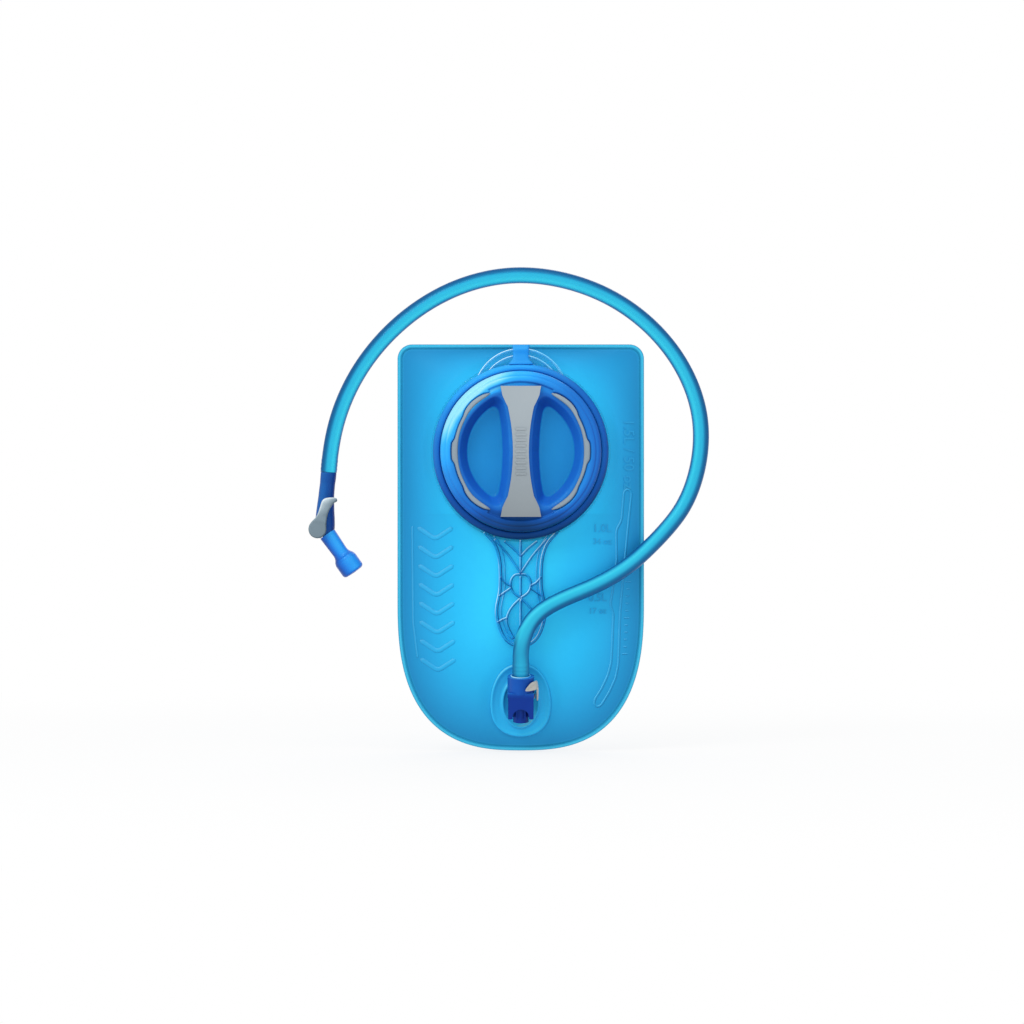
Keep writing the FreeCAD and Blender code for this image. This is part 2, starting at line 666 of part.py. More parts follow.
def build_release_button():
    """Rounded button on the +X side, cleared for the collar over its whole travel."""
    raw = fuse("btn_raw", [
        block("btn_top", 9.2, 6.2, 13.0, vec(2.4, 11.0, -2.6)),
        block("btn_stem", 3.2, 9.6, 6.6, vec(8.2, 3.5, -2.6))])
    rounding = rod("btn_round", 11.4, 16.0, vec(0.25, 2.4, -0.4), UP)
    lens = doc.addObject("Part::MultiCommon", "Common_btn")
    lens.Shapes = [raw, rounding]
    gap_radius = socket_radius + 0.2
    clear = fuse("btn_clear", [
        rod("btn_clear_a", gap_radius, 20.0, vec(0, 0, 0), UP),
        rod("btn_clear_b", gap_radius, 20.0, vec(button_travel, 0, 0), UP),
        block("btn_clear_c", button_travel, 20.0, gap_radius * 2, vec(0, 0, -gap_radius)),
        block("btn_clear_d", 8.8 + button_travel, 9.4, 22.0, vec(0, 0, -13.8))])
    keep(cut("btn_cut", lens, clear), "release_button", SOCKET)


def build_release_spring():
    spring = coil(radius=1.5, wire_radius=0.25, pitch=0.95, height=2.85)
    keep(solid("release_spring", spring), "release_spring",
         SOCKET.multiply(aim(vec(6.75, SPRING_Y, 0), vec(1, 0, 0))))


def build_poppet():
    """Poppet, its seal and its spring, on the socket axis."""
    poppet = turned("poppet", [
        (0, -5.0), (3.5, -5.0), (3.5, -4.2), (2.5, -4.2), (2.5, -3.9), (1.0, -3.9),
        (1.0, 1.25), (0, 1.25)])
    keep(poppet, "poppet", SOCKET_AXIS)
    seal = turned("poppet_seal", [
        (2.6, -4.15), (3.5, -4.15), (3.5, -4.06), (3.2, -4.05), (2.6, -4.05)])
    keep(seal, "poppet_seal", SOCKET_AXIS)
    spring = coil(radius=2.6, wire_radius=0.3, pitch=1.2, height=3.6)
    keep(solid("poppet_spring", spring), "poppet_spring",
         SOCKET_AXIS.multiply(at(0, 0, -9.1)))


def build_tube_connector():
    """Plug with two O-ring grooves and a latch groove, then three barbs for the tube."""
    bore, groove = 2.3, 3.3
    connector = turned("tube_connector", [
        (bore, 1.4), (plug_radius - 0.6, 1.4), (plug_radius, 2.2), (plug_radius, 3.4),
        (groove, 3.4), (groove, 4.7), (plug_radius, 4.7), (plug_radius, 6.2),
        (groove, 6.2), (groove, 7.5), (plug_radius, 7.5), (plug_radius, 11.0),
        (3.9, 11.6), (3.9, 13.4), (plug_radius, 14.0), (plug_radius, 19.0),
        (3.0, 19.0), (3.0, 20.4), (3.4, 20.4), (3.0, 22.6), (3.0, 23.0), (3.4, 23.0),
        (3.0, 25.2), (3.0, 25.6), (3.4, 25.6), (2.7, 29.4), (bore, 29.4)])
    keep(connector, "tube_connector", SOCKET_AXIS)
    o_rings("connector_orings", (4.05, 6.85), SOCKET_AXIS)


# ---- drink tube -----------------------------------------------------------------
TUBE_START = (19.3, 26.0, 32.5)  # straight start: distances along the socket axis
# Centre line in the face frame (x, y, depth), from the outlet round to the right
TUBE_RISE = [
    (1.4, -121.0, 43.0), (8.4, -107.4, 42.6), (22.2, -97.4, 40.4), (44.0, -88.0, 35.6),
    (65.8, -76.4, 28.6), (82.7, -62.4, 21.6), (96.0, -48.6, 16.6)]
# The loop over the top at valve depth: (degrees from +x, radius) about the cap axis
TUBE_LOOP = [
    (-20, 110.9), (-4, 115.9), (12, 118.9), (28, 118.9), (44, 117.65), (60, 116.4),
    (76, 115.5), (92, 115.4), (108, 115.0), (124, 114.8), (140, 115.8), (156, 118.3),
    (172, 121.8)]
BEND_START, BEND_END = (52, 117.0), (84, 115.4)  # ends of the bend piece, same columns


def loop_point(degrees, radius):
    angle = math.radians(degrees)
    return vec(radius * math.cos(angle), radius * math.sin(angle), valve_depth)


def tube_path():
    tilt = math.radians(outlet_tilt)
    along = vec(0, math.cos(tilt), math.sin(tilt))
    socket = vec(0, -outlet_drop - socket_rise * math.sin(tilt),
                 outlet_deck + socket_rise * math.cos(tilt))
    points = [socket + along * distance for distance in TUBE_START]
    points += [vec(*point) for point in TUBE_RISE]
    points += [loop_point(*station) for station in TUBE_LOOP]
    points.append(vec(-125.2, -12.9, valve_depth))
    path = Part.BSplineCurve()
    path.interpolate(points, InitialTangent=along * 25.0, FinalTangent=VALVE_AXIS * 25.0)
    return path


def hose(path, start, finish, radius):
    """A solid swept along the path between two parameters."""
    line = Part.Wire([path.toShape(start, finish)])
    circle = Part.makeCircle(radius, path.value(start), path.tangent(start)[0])
    return line.makePipeShell([Part.Wire([circle])], True, False)


def build_drink_tube():
    path = tube_path()
    first, last = path.FirstParameter, path.LastParameter
    bend_start = path.parameter(loop_point(*BEND_START))
    bend_end = path.parameter(loop_point(*BEND_END))
    gap = (last - first) / path.length() * 0.1  # about 0.1 mm between pieces
    for label, start, finish in (
            ("drink_tube_lower", first, bend_start - gap),
            ("drink_tube_bend", bend_start, bend_end - gap),
            ("drink_tube_upper", bend_end, last)):
        outer = hose(path, start, finish, tube_radius)
        inner = hose(path, start, finish, tube_bore)
        keep(solid(label, outer.cut(inner)), label, FACE)


# ---- shut-off valve and bite valve ----------------------------------------------
def build_valve_body():
    low, high, bore = 7.5, 20.5, 2.2  # depths of the spool chamber, flow bore radius
    lip = rod("valve_lip", 5.15, 3.0, VALVE_TOP + VALVE_AXIS * 0.15, VALVE_AXIS)
    stem = rod("valve_barb", 2.95, 12.0, VALVE_TOP - VALVE_AXIS * 9.5, VALVE_AXIS)
    barrel = doc.addObject("Part::Cone", "Cone_valve_barrel")
    barrel.Radius1 = 4.75
    barrel.Radius2 = 6.0
    barrel.Height = 31.0
    barrel.Placement = aim(VALVE_TOP + VALVE_AXIS * 1.5, VALVE_AXIS)
    chamber = rod("valve_chamber", 5.6, high - low, LEVER_HUB + vec(0, 0, low))
    yoke = new_body("valve_block")
    pad(yoke, "valve_block", [[
        (-133.3, -39.0), (-121.5, -40.0), (-121.4, -48.6), (-131.0, -55.4),
        (-135.6, -53.4), (-137.0, -49.0)]], low, high)
    nipple = rod("valve_nipple", 3.4, 17.0, BITE_BASE - BITE_AXIS * 3.0, BITE_AXIS)
    outside = fuse("valve_solid", [lip, stem, barrel, chamber, yoke, nipple])
    tools = fuse("valve_tools", [
        rod("valve_bore", bore, 44.0, VALVE_TOP - VALVE_AXIS * 10.0, VALVE_AXIS),
        rod("valve_cross", bore, 8.0, LEVER_HUB + vec(0, 0, valve_depth), vec(0.70, 0.71, 0)),
        rod("valve_spool_bore", spool_radius + 0.2, 13.0, LEVER_HUB + vec(0, 0, low + 1.0)),
        rod("valve_out", bore, 20.0, BITE_BASE - BITE_AXIS * 4.5, BITE_AXIS)])
    keep(cut("valve_body", outside, tools), "valve_body", FACE)


def build_shutoff_spool():
    """Cross-drilled spool with two O-ring grooves and a stub that carries the lever."""
    groove, stub = 2.75, 2.0
    spool = turned("shutoff_spool", [
        (0, 8.7), (spool_radius, 8.7), (spool_radius, 9.8), (groove, 9.8), (groove, 11.1),
        (spool_radius, 11.1), (spool_radius, 16.9), (groove, 16.9), (groove, 18.2),
        (spool_radius, 18.2), (spool_radius, 21.1), (stub, 21.1), (stub, 23.4), (0, 23.4)])
    hole = rod("spool_cross", 2.0, 12.0, vec(-3.2, -5.2, valve_depth), vec(0.53, 0.85, 0))
    keep(cut("shutoff_spool", spool, hole), "shutoff_spool", SPOOL)
    o_rings("spool_orings", (10.45, 17.55), SPOOL)


def build_shutoff_lever():
    low, hub_bore = 21.25, 2.05
    lever = turned("shutoff_lever", [
        (hub_bore, low), (hub_radius - 0.4, low), (hub_radius, 21.65), (hub_radius, 24.6),
        (hub_radius - 0.7, 25.3), (0, 25.3), (0, 23.6), (hub_bore, 23.6)])
    pad(lever, "lever_arm", [[
        (-4.7, 3.1), (-1.3, 6.3, (0.6, 11.6)), (2.6, 17.0, (4.3, 19.3)), (7.7, 20.2),
        (11.4, 20.0, (12.4, 19.0)), (12.0, 17.4), (9.3, 14.6, (7.2, 10.9)), (6.0, 6.1),
        (5.2, 2.6)]], low, 24.2)
    pad(lever, "lever_tip", [[
        (2.6, 17.0), (9.9, 15.2), (12.0, 17.4, (12.6, 19.0)), (11.4, 20.0), (7.7, 20.2)]],
        23.5, 25.9)
    keep(lever, "shutoff_lever", SPOOL)


def build_bite_valve():
    base, bore, bell = 0.95, 3.65, bite_radius - 0.2
    bite = turned("bite_valve", [
        (bore, base), (bite_sleeve + 0.5, base), (bite_sleeve, 14.6, (5.5, 17.4)),
        (bite_radius - 0.9, 19.6), (bell, 21.6), (bell, 28.6, (7.1, 30.4)), (5.0, 31.3),
        (0.6, 31.6), (0.6, 29.6), (5.2, 28.4), (5.9, 26.6), (5.9, 20.6), (bore, 16.0)])
    keep(bite, "bite_valve", BITE)


# ---- build, check and write -----------------------------------------------------
for build in (
        build_front_panel, build_back_panel, build_filler_neck, build_handle_frame,
        build_cap_body, build_grip_pad, build_side_grips, build_cap_seal,
        build_tether_ring, build_tether_strap, build_outlet_flange, build_outlet_socket,
        build_release_button, build_release_spring, build_poppet, build_tube_connector,
        build_drink_tube, build_valve_body, build_shutoff_spool, build_shutoff_lever,
        build_bite_valve):
    build()
doc.recompute()

faults = [f"{item.Label} state {item.State}" for item in doc.Objects
          if "Invalid" in item.State or "Error" in item.State]
faults += [f"{node.Label} shape" for node in nodes
           if node.Shape.isNull() or not node.Shape.isValid()]
if faults:
    raise RuntimeError("; ".join(faults))
os.makedirs("parts", exist_ok=True)
for node in nodes:
    node.Shape.exportStep(f"parts/{node.Label}.step")
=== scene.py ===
"""Soft drinking reservoir: a welded blue film bag with a round screw cap, a clear handle,
an outlet, a hose looping round the right side and top, and a valve with a grey lever.

The bag stands upright in the XZ plane, x to the right and z up, with its face towards -Y.
Shapes are worked out in millimetres as (x, z, depth): the origin is on the cap axis and
depth grows from the back of the bag towards the viewer.
"""
import bpy
import bmesh
import json
import math
import numpy as np
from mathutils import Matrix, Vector


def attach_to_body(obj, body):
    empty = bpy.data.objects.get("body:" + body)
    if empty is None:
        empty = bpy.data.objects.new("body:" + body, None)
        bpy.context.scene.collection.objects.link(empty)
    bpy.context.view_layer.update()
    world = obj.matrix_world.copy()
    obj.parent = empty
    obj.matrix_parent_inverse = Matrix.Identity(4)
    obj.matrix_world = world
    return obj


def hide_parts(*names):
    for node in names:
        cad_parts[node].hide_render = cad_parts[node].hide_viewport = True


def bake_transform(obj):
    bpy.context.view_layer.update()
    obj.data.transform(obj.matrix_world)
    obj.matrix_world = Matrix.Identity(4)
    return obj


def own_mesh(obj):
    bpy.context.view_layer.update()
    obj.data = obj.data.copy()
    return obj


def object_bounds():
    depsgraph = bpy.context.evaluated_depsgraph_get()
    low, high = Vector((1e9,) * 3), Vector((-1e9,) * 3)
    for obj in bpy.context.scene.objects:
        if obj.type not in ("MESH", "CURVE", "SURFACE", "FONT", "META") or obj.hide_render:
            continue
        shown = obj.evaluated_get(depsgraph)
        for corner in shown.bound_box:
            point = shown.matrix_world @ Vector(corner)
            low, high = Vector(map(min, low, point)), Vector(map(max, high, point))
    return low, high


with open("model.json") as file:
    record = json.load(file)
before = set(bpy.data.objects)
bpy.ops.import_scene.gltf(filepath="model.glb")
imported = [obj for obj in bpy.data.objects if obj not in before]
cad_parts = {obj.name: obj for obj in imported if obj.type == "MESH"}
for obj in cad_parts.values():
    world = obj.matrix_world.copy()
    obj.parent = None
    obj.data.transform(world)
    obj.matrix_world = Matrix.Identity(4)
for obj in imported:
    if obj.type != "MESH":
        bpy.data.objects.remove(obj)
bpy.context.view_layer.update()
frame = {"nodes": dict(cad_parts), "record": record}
MM = 0.001
scene = bpy.context.scene

# ------------------------------------------------------------------ bag sizes, mm
HALF_W = 80.3                   # half width of the bag
TOP_Z = 70.3                    # top edge
CORNER_R = 9.5                  # upper corners
BELLY_Z = -96.1                 # below this height the edge is a superellipse
BELLY_H = 98.15                 # height of that superellipse
BELLY_POWER = 2.68
WELD = 3.0                      # width of the welded edge
RIM = 14.0                      # depth of the weld
SWELL = 15.4                    # how far the front bulges
FILM = 0.5                      # front film thickness
BACK_FILM = 0.6
DECK = 29.95                    # flat round the cap
OUTLET_Z, OUTLET_D = -161.0, 23.2
TILT = math.radians(12.0)       # lean of the outlet plate
TILT_COS, TILT_SIN = math.cos(TILT), math.sin(TILT)
SOCKET_D = 11.0                 # socket axis above the outlet plate
TUBE_D = 14.0                   # depth of the hose loop and the valve
VALVE_TOP = np.array([-125.2, -13.05, TUBE_D])
VALVE_TOP_DIR = np.array([-0.073, -0.9973, 0.0])
FREE_INSET = 45.0               # "inset" value of marks, well clear of the weld


# ------------------------------------------------------------------ film surface
def smoothstep(start, end, value):
    share = np.clip((value - start) / (end - start), 0.0, 1.0)
    return share * share * (3 - 2 * share)


def lerp(first, second, share):
    return first * (1 - share) + second * share


def fullness(x, z):
    """0 at the weld, 1 where the bag is fullest"""
    x = np.asarray(x, float)
    z = np.asarray(z, float)
    across = np.abs(x) / (HALF_W - WELD)
    down = np.clip((BELLY_Z - z) / (BELLY_H - WELD), 0, None)
    upper = 1 - across ** BELLY_POWER
    upper = upper * (1 - np.exp(-np.clip(TOP_Z - WELD - z, -30, None) / 14.0))
    lower = 1 - across ** BELLY_POWER - down ** BELLY_POWER
    return np.maximum(np.where(z < BELLY_Z, lower, upper), -0.25)


def soft_positive(value, softness=0.03):
    return 0.5 * (value + np.sqrt(value * value + softness * softness))


def tone(x, z):
    """Painted light and shade of the film: brightest where the bag is fullest and a little
    brighter near the cap, painted shade deepening towards the weld
    """
    full = np.clip(fullness(x, z), 0, 1)
    return np.clip(full + 0.10 * smoothstep(80, 58, np.hypot(x, z)) * (z > -40), 0, 1)


def front_level(x, z):
    """Front depth without undulation, flat round the cap and under the outlet plate"""
    x = np.asarray(x, float)
    z = np.asarray(z, float)
    depth = RIM + 0.05 + FILM + SWELL * np.minimum(1.0, soft_positive(fullness(x, z)))
    depth = lerp(DECK, depth, smoothstep(52.0, 66.0, np.hypot(x, z)))
    from_outlet = np.hypot(x / 21.0, (z - OUTLET_Z + 0.2) / 26.0)
    seat = OUTLET_D - 0.12 + (z - OUTLET_Z) * math.tan(TILT)
    return lerp(seat, depth, smoothstep(1.0, 1.4, from_outlet))


def back_level(x, z):
    share = np.minimum(1.0, soft_positive(fullness(x, z)) / 0.8)
    return np.maximum(0.0, -0.3 + (RIM - 0.55) * (1 - share) ** 2)


def ripple(x, z):
    """Very slow film undulation"""
    return (0.22 * np.sin(x * 0.055 + z * 0.031 + 0.7) * np.cos(z * 0.043 - x * 0.021)
            + 0.12 * np.sin(x * 0.11 - z * 0.07 + 2.1))


def film_depth(x, z):
    """Front depth with undulation, which fades at the weld, port and outlet; held below
    the handle"""
    x = np.asarray(x, float)
    z = np.asarray(z, float)
    edge = smoothstep(0.05, 0.55, fullness(x, z))
    port = smoothstep(56.0, 72.0, np.hypot(x, z))
    outlet = smoothstep(1.1, 1.6, np.hypot(x / 24.0, (z - OUTLET_Z) / 29.0))
    depth = front_level(x, z) + ripple(x, z) * edge * port * outlet
    under_handle = (np.abs(x) < 19) & (z < 0) & (z > -130)
    return np.where(under_handle, np.minimum(depth, 30.0), depth)


# ------------------------------------------------------------------ points
def place(x, z, depth):
    """Face millimetres to the shared frame"""
    return (x * MM, -depth * MM, z * MM)


def placed(points):
    return [place(*point) for point in points]


def outlet_point(x, up, out):
    """Tilted outlet coordinates to face millimetres"""
    return (x, OUTLET_Z - out * TILT_SIN + up * TILT_COS,
            OUTLET_D + out * TILT_COS + up * TILT_SIN)


def socket_place(x, along, out):
    """x right, along the socket towards the tube, and out from its axis"""
    return place(*outlet_point(x, along, SOCKET_D + out))


def at_depth(points, depth):
    return np.column_stack([points, np.broadcast_to(depth, len(points))])


def full_turn(count):
    return np.linspace(0, 2 * math.pi, count, endpoint=False)


def round_points(radius, angles):
    return np.column_stack([radius * np.cos(angles), radius * np.sin(angles)])


def arc_lengths(points):
    steps = np.linalg.norm(np.diff(points, axis=0), axis=1)
    return np.concatenate([[0], np.cumsum(steps)])


def unit_rows(vectors):
    return vectors / (np.linalg.norm(vectors, axis=1)[:, None] + 1e-12)


def spline(points, start_dir, end_dir, count):
    """Cubic spline through 3-D points by chord length with given end tangents"""
    knots = arc_lengths(points)
    size = len(points)
    gap = np.diff(knots)
    matrix = np.zeros((size, size))
    right = np.zeros((size, 3))
    matrix[0, 0] = matrix[-1, -1] = 1
    right[0], right[-1] = start_dir, end_dir
    for i in range(1, size - 1):
        before, after = gap[i - 1], gap[i]
        matrix[i, i - 1:i + 2] = after, 2 * (before + after), before
        right[i] = 3 * (after * (points[i] - points[i - 1]) / before
                        + before * (points[i + 1] - points[i]) / after)
    tangent = np.linalg.solve(matrix, right)
    stations = np.linspace(0, knots[-1], count)
    k = np.clip(np.searchsorted(knots, stations, side="right") - 1, 0, size - 2)
    t = ((stations - knots[k]) / gap[k])[:, None]
    span = gap[k][:, None]
    return ((2 * t**3 - 3 * t**2 + 1) * points[k]
            + (t**3 - 2 * t**2 + t) * span * tangent[k]
            + (-2 * t**3 + 3 * t**2) * points[k + 1]
            + (t**3 - t**2) * span * tangent[k + 1])


def flat_spline(pairs, count):
    """Smooth open curve through (x, z) points"""
    points = np.array([(x, z, 0.0) for x, z in pairs])
    start = (points[1] - points[0]) / np.linalg.norm(points[1] - points[0])
    end = (points[-1] - points[-2]) / np.linalg.norm(points[-1] - points[-2])
    return spline(points, start, end, count)[:, :2]


def closed_curve(pairs, count):
    """Closed Catmull-Rom curve, count points to each span"""
    points = np.array(pairs, float)
    size = len(points)
    curve = []
    for i in range(size):
        before, start = points[i - 1], points[i]
        end, after = points[(i + 1) % size], points[(i + 2) % size]
        for t in np.linspace(0, 1, count, endpoint=False):
            curve.append(0.5 * (2 * start + (end - before) * t
                                + (2 * before - 5 * start + 4 * end - after) * t * t
                                + (3 * start - before - 3 * end + after) * t ** 3))
    return np.array(curve)


# ------------------------------------------------------------------ meshes
def loft(rings, ends="open"):
    """Join equal rings; ends are "open", "caps" or "wrap" (last ring back to the first)"""
    count = len(rings[0])
    verts = [point for ring in rings for point in ring]
    faces = []
    for i in range(len(rings) if ends == "wrap" else len(rings) - 1):
        this, following = i * count, (i + 1) % len(rings) * count
        for j in range(count):
            k = (j + 1) % count
            faces.append((this + j, this + k, following + k, following + j))
    if ends == "caps":
        faces.append(tuple(reversed(range(count))))
        faces.append(tuple((len(rings) - 1) * count + j for j in range(count)))
    return verts, faces


def add_fans(faces, count, fans):
    """Close rings with triangles; fans are (first vertex of ring, tip vertex, flipped)"""
    for j in range(count):
        k = (j + 1) % count
        for start, tip, flipped in fans:
            a, b = (k, j) if flipped else (j, k)
            faces.append((start + a, start + b, tip))


def tidy(mesh, weld=False, triangulate=False):
    """Recalculate normals, after an optional weld or split of the large faces"""
    bm = bmesh.new()
    bm.from_mesh(mesh)
    if weld:
        bmesh.ops.remove_doubles(bm, verts=bm.verts, dist=1e-6)
    if triangulate:
        large = [face for face in bm.faces if len(face.verts) > 4]
        bmesh.ops.triangulate(bm, faces=large, quad_method="BEAUTY", ngon_method="BEAUTY")
    bmesh.ops.recalc_face_normals(bm, faces=bm.faces)
    bm.to_mesh(mesh)
    bm.free()


def add_values(mesh, values):
    """Store one number per vertex under each name"""
    for name, numbers in values.items():
        attribute = mesh.attributes.new(name, "FLOAT", "POINT")
        attribute.data.foreach_set("value", np.asarray(numbers, dtype=np.float32))


def link_object(name, data):
    ob = bpy.data.objects.new(name, data)
    scene.collection.objects.link(ob)
    return ob


def new_mesh(name, verts, faces, values=None, shade_smooth=True):
    mesh = bpy.data.meshes.new(name)
    mesh.from_pydata([tuple(vert) for vert in verts], [], [tuple(face) for face in faces])
    mesh.validate()
    add_values(mesh, values or {})
    if shade_smooth:
        mesh.polygons.foreach_set("use_smooth", [True] * len(mesh.polygons))
    mesh.update()
    ob = link_object(name, mesh)
    tidy(mesh)
    return ob


def sweep(name, line, radius, segments, bore=None):
    """Round bar about a line, or a pipe when it has a bore; radius may vary along it"""
    tangent = np.gradient(line, axis=0)
    tangent /= np.linalg.norm(tangent, axis=1)[:, None]
    normal = np.zeros_like(line)
    first = np.cross(tangent[0], [1.0, 0, 0])
    normal[0] = first / np.linalg.norm(first)
    for i in range(1, len(line)):
        carried = normal[i - 1] - tangent[i] * np.dot(normal[i - 1], tangent[i])
        normal[i] = carried / np.linalg.norm(carried)
    turn = full_turn(segments)[None, :, None]
    spokes = (normal[:, None] * np.cos(turn)
              + np.cross(tangent, normal)[:, None] * np.sin(turn))

    def wall(size):
        sizes = np.broadcast_to(np.asarray(size, float), (len(line),))
        return [placed(ring) for ring in line[:, None] + spokes * sizes[:, None, None]]

    if bore is None:
        return new_mesh(name, *loft(wall(radius), "caps"))
    # "side": +1 where the wall looks away from the cap axis, -1 towards it
    away = line.copy()
    away[:, 2] = 0
    away[:, :2] /= np.linalg.norm(away[:, :2], axis=1)[:, None] + 1e-9
    away -= tangent * np.sum(away * tangent, axis=1)[:, None]
    side = np.sum(spokes * away[:, None], axis=2)
    values = {"side": np.concatenate([side.ravel(), side[::-1].ravel()])}
    return new_mesh(name, *loft(wall(radius) + wall(bore)[::-1], "wrap"), values)


def flat_bar(name, line, width, height, segments, power):
    """Bar with a superellipse section: width across the face, height in depth"""
    line = np.array(line, float)
    tangent = unit_rows(np.gradient(line, axis=0))
    side = unit_rows(np.cross(tangent, [0, 0, 1.0]))
    up = np.cross(side, tangent)
    widths = np.broadcast_to(width, (len(line),))
    heights = np.broadcast_to(height, (len(line),))
    turn = full_turn(segments)
    across, rise = (np.copysign(np.abs(wave) ** (2 / power), wave) / 2
                    for wave in (np.cos(turn), np.sin(turn)))
    rings = [placed(line[i] + np.outer(across * widths[i], side[i])
                    + np.outer(rise * heights[i], up[i])) for i in range(len(line))]
    return new_mesh(name, *loft(rings, "caps"))


def turned_ring(name, profile, segments, painted_light=None):
    """Closed ring about the cap axis from a (radius, depth) loop"""
    rings = [[place(radius * math.cos(a), radius * math.sin(a), depth)
              for radius, depth in profile] for a in full_turn(segments)]
    verts, faces = loft(rings, "wrap")
    values = None
    if painted_light:
        points = np.array(verts) / MM
        values = {"painted_light": around(points[:, 0], points[:, 2], painted_light)}
    return new_mesh(name, verts, faces, values)


def lathe(name, profile, origin, axis, segments=48):
    """Solid of revolution: profile is (radius, distance along the axis)"""
    axis = np.array(axis, float)
    axis /= np.linalg.norm(axis)
    first = np.cross(axis, [0.0, 0.0, 1.0])
    if np.linalg.norm(first) < 0.2:
        first = np.cross(axis, [1.0, 0.0, 0.0])
    first /= np.linalg.norm(first)
    second = np.cross(axis, first)
    origin = np.array(origin, float)
    rings = [placed(origin + axis * along + (first * math.cos(a) + second * math.sin(a)) * radius
                    for a in full_turn(segments)) for radius, along in profile]
    return new_mesh(name, *loft(rings, "caps"))


def slab(name, outline, low, high, placer, edge, steps):
    """Solid from a closed outline between two height functions, its upper edge rolled over"""
    tangent = unit_rows(np.roll(outline, -1, 0) - np.roll(outline, 1, 0))
    x, y = outline.T
    double_area = np.sum(x * np.roll(y, -1) - np.roll(x, -1) * y)
    inwards = np.column_stack([-tangent[:, 1], tangent[:, 0]]) * (1 if double_area > 0 else -1)
    rings = [[placer(x, y, low(x, y)) for x, y in outline]]
    for i in range(steps + 1):
        angle = i / steps * math.pi / 2
        loop = outline + inwards * edge * (1 - math.cos(angle))
        drop = edge * (1 - math.sin(angle))
        rings.append([placer(x, y, high(x, y) - drop) for x, y in loop])
    ob = new_mesh(name, *loft(rings, "caps"), shade_smooth=False)
    tidy(ob.data, triangulate=True)
    return ob


# ------------------------------------------------------------------ material nodes
# directions of the painted light that the shade ramps follow
KEY_SIDE = (-0.42, 0.62, 0.66)      # towards the key light: x, towards either face, z
CROWN_SIDE = (-0.50, 0.52, 0.69)
DEEP_TINT = (0.22, 0.58, 1.0, 1)
PALE_TINT = (0.4, 0.75, 1.0, 1)
SOFT_TINT = (0.5, 0.8, 1.0, 1)


def colour(value):
    """Linear colour from "#rrggbb", a grey level or a colour that is already linear"""
    if isinstance(value, str):
        parts = [int(value[i:i + 2], 16) / 255 for i in (1, 3, 5)]
        return tuple(part / 12.92 if part <= 0.04045 else ((part + 0.055) / 1.055) ** 2.4
                     for part in parts) + (1.0,)
    if isinstance(value, (int, float)):
        return (value, value, value, 1)
    return value


def brighten(value, gain):
    return tuple(min(1.0, part * gain) for part in colour(value)[:3]) + (1.0,)


def blue_sheen(level, tint=DEEP_TINT):
    """Reflections in the tinted plastics take up their colour"""
    return {"Specular_IOR_Level": level, "Specular_Tint": tint}


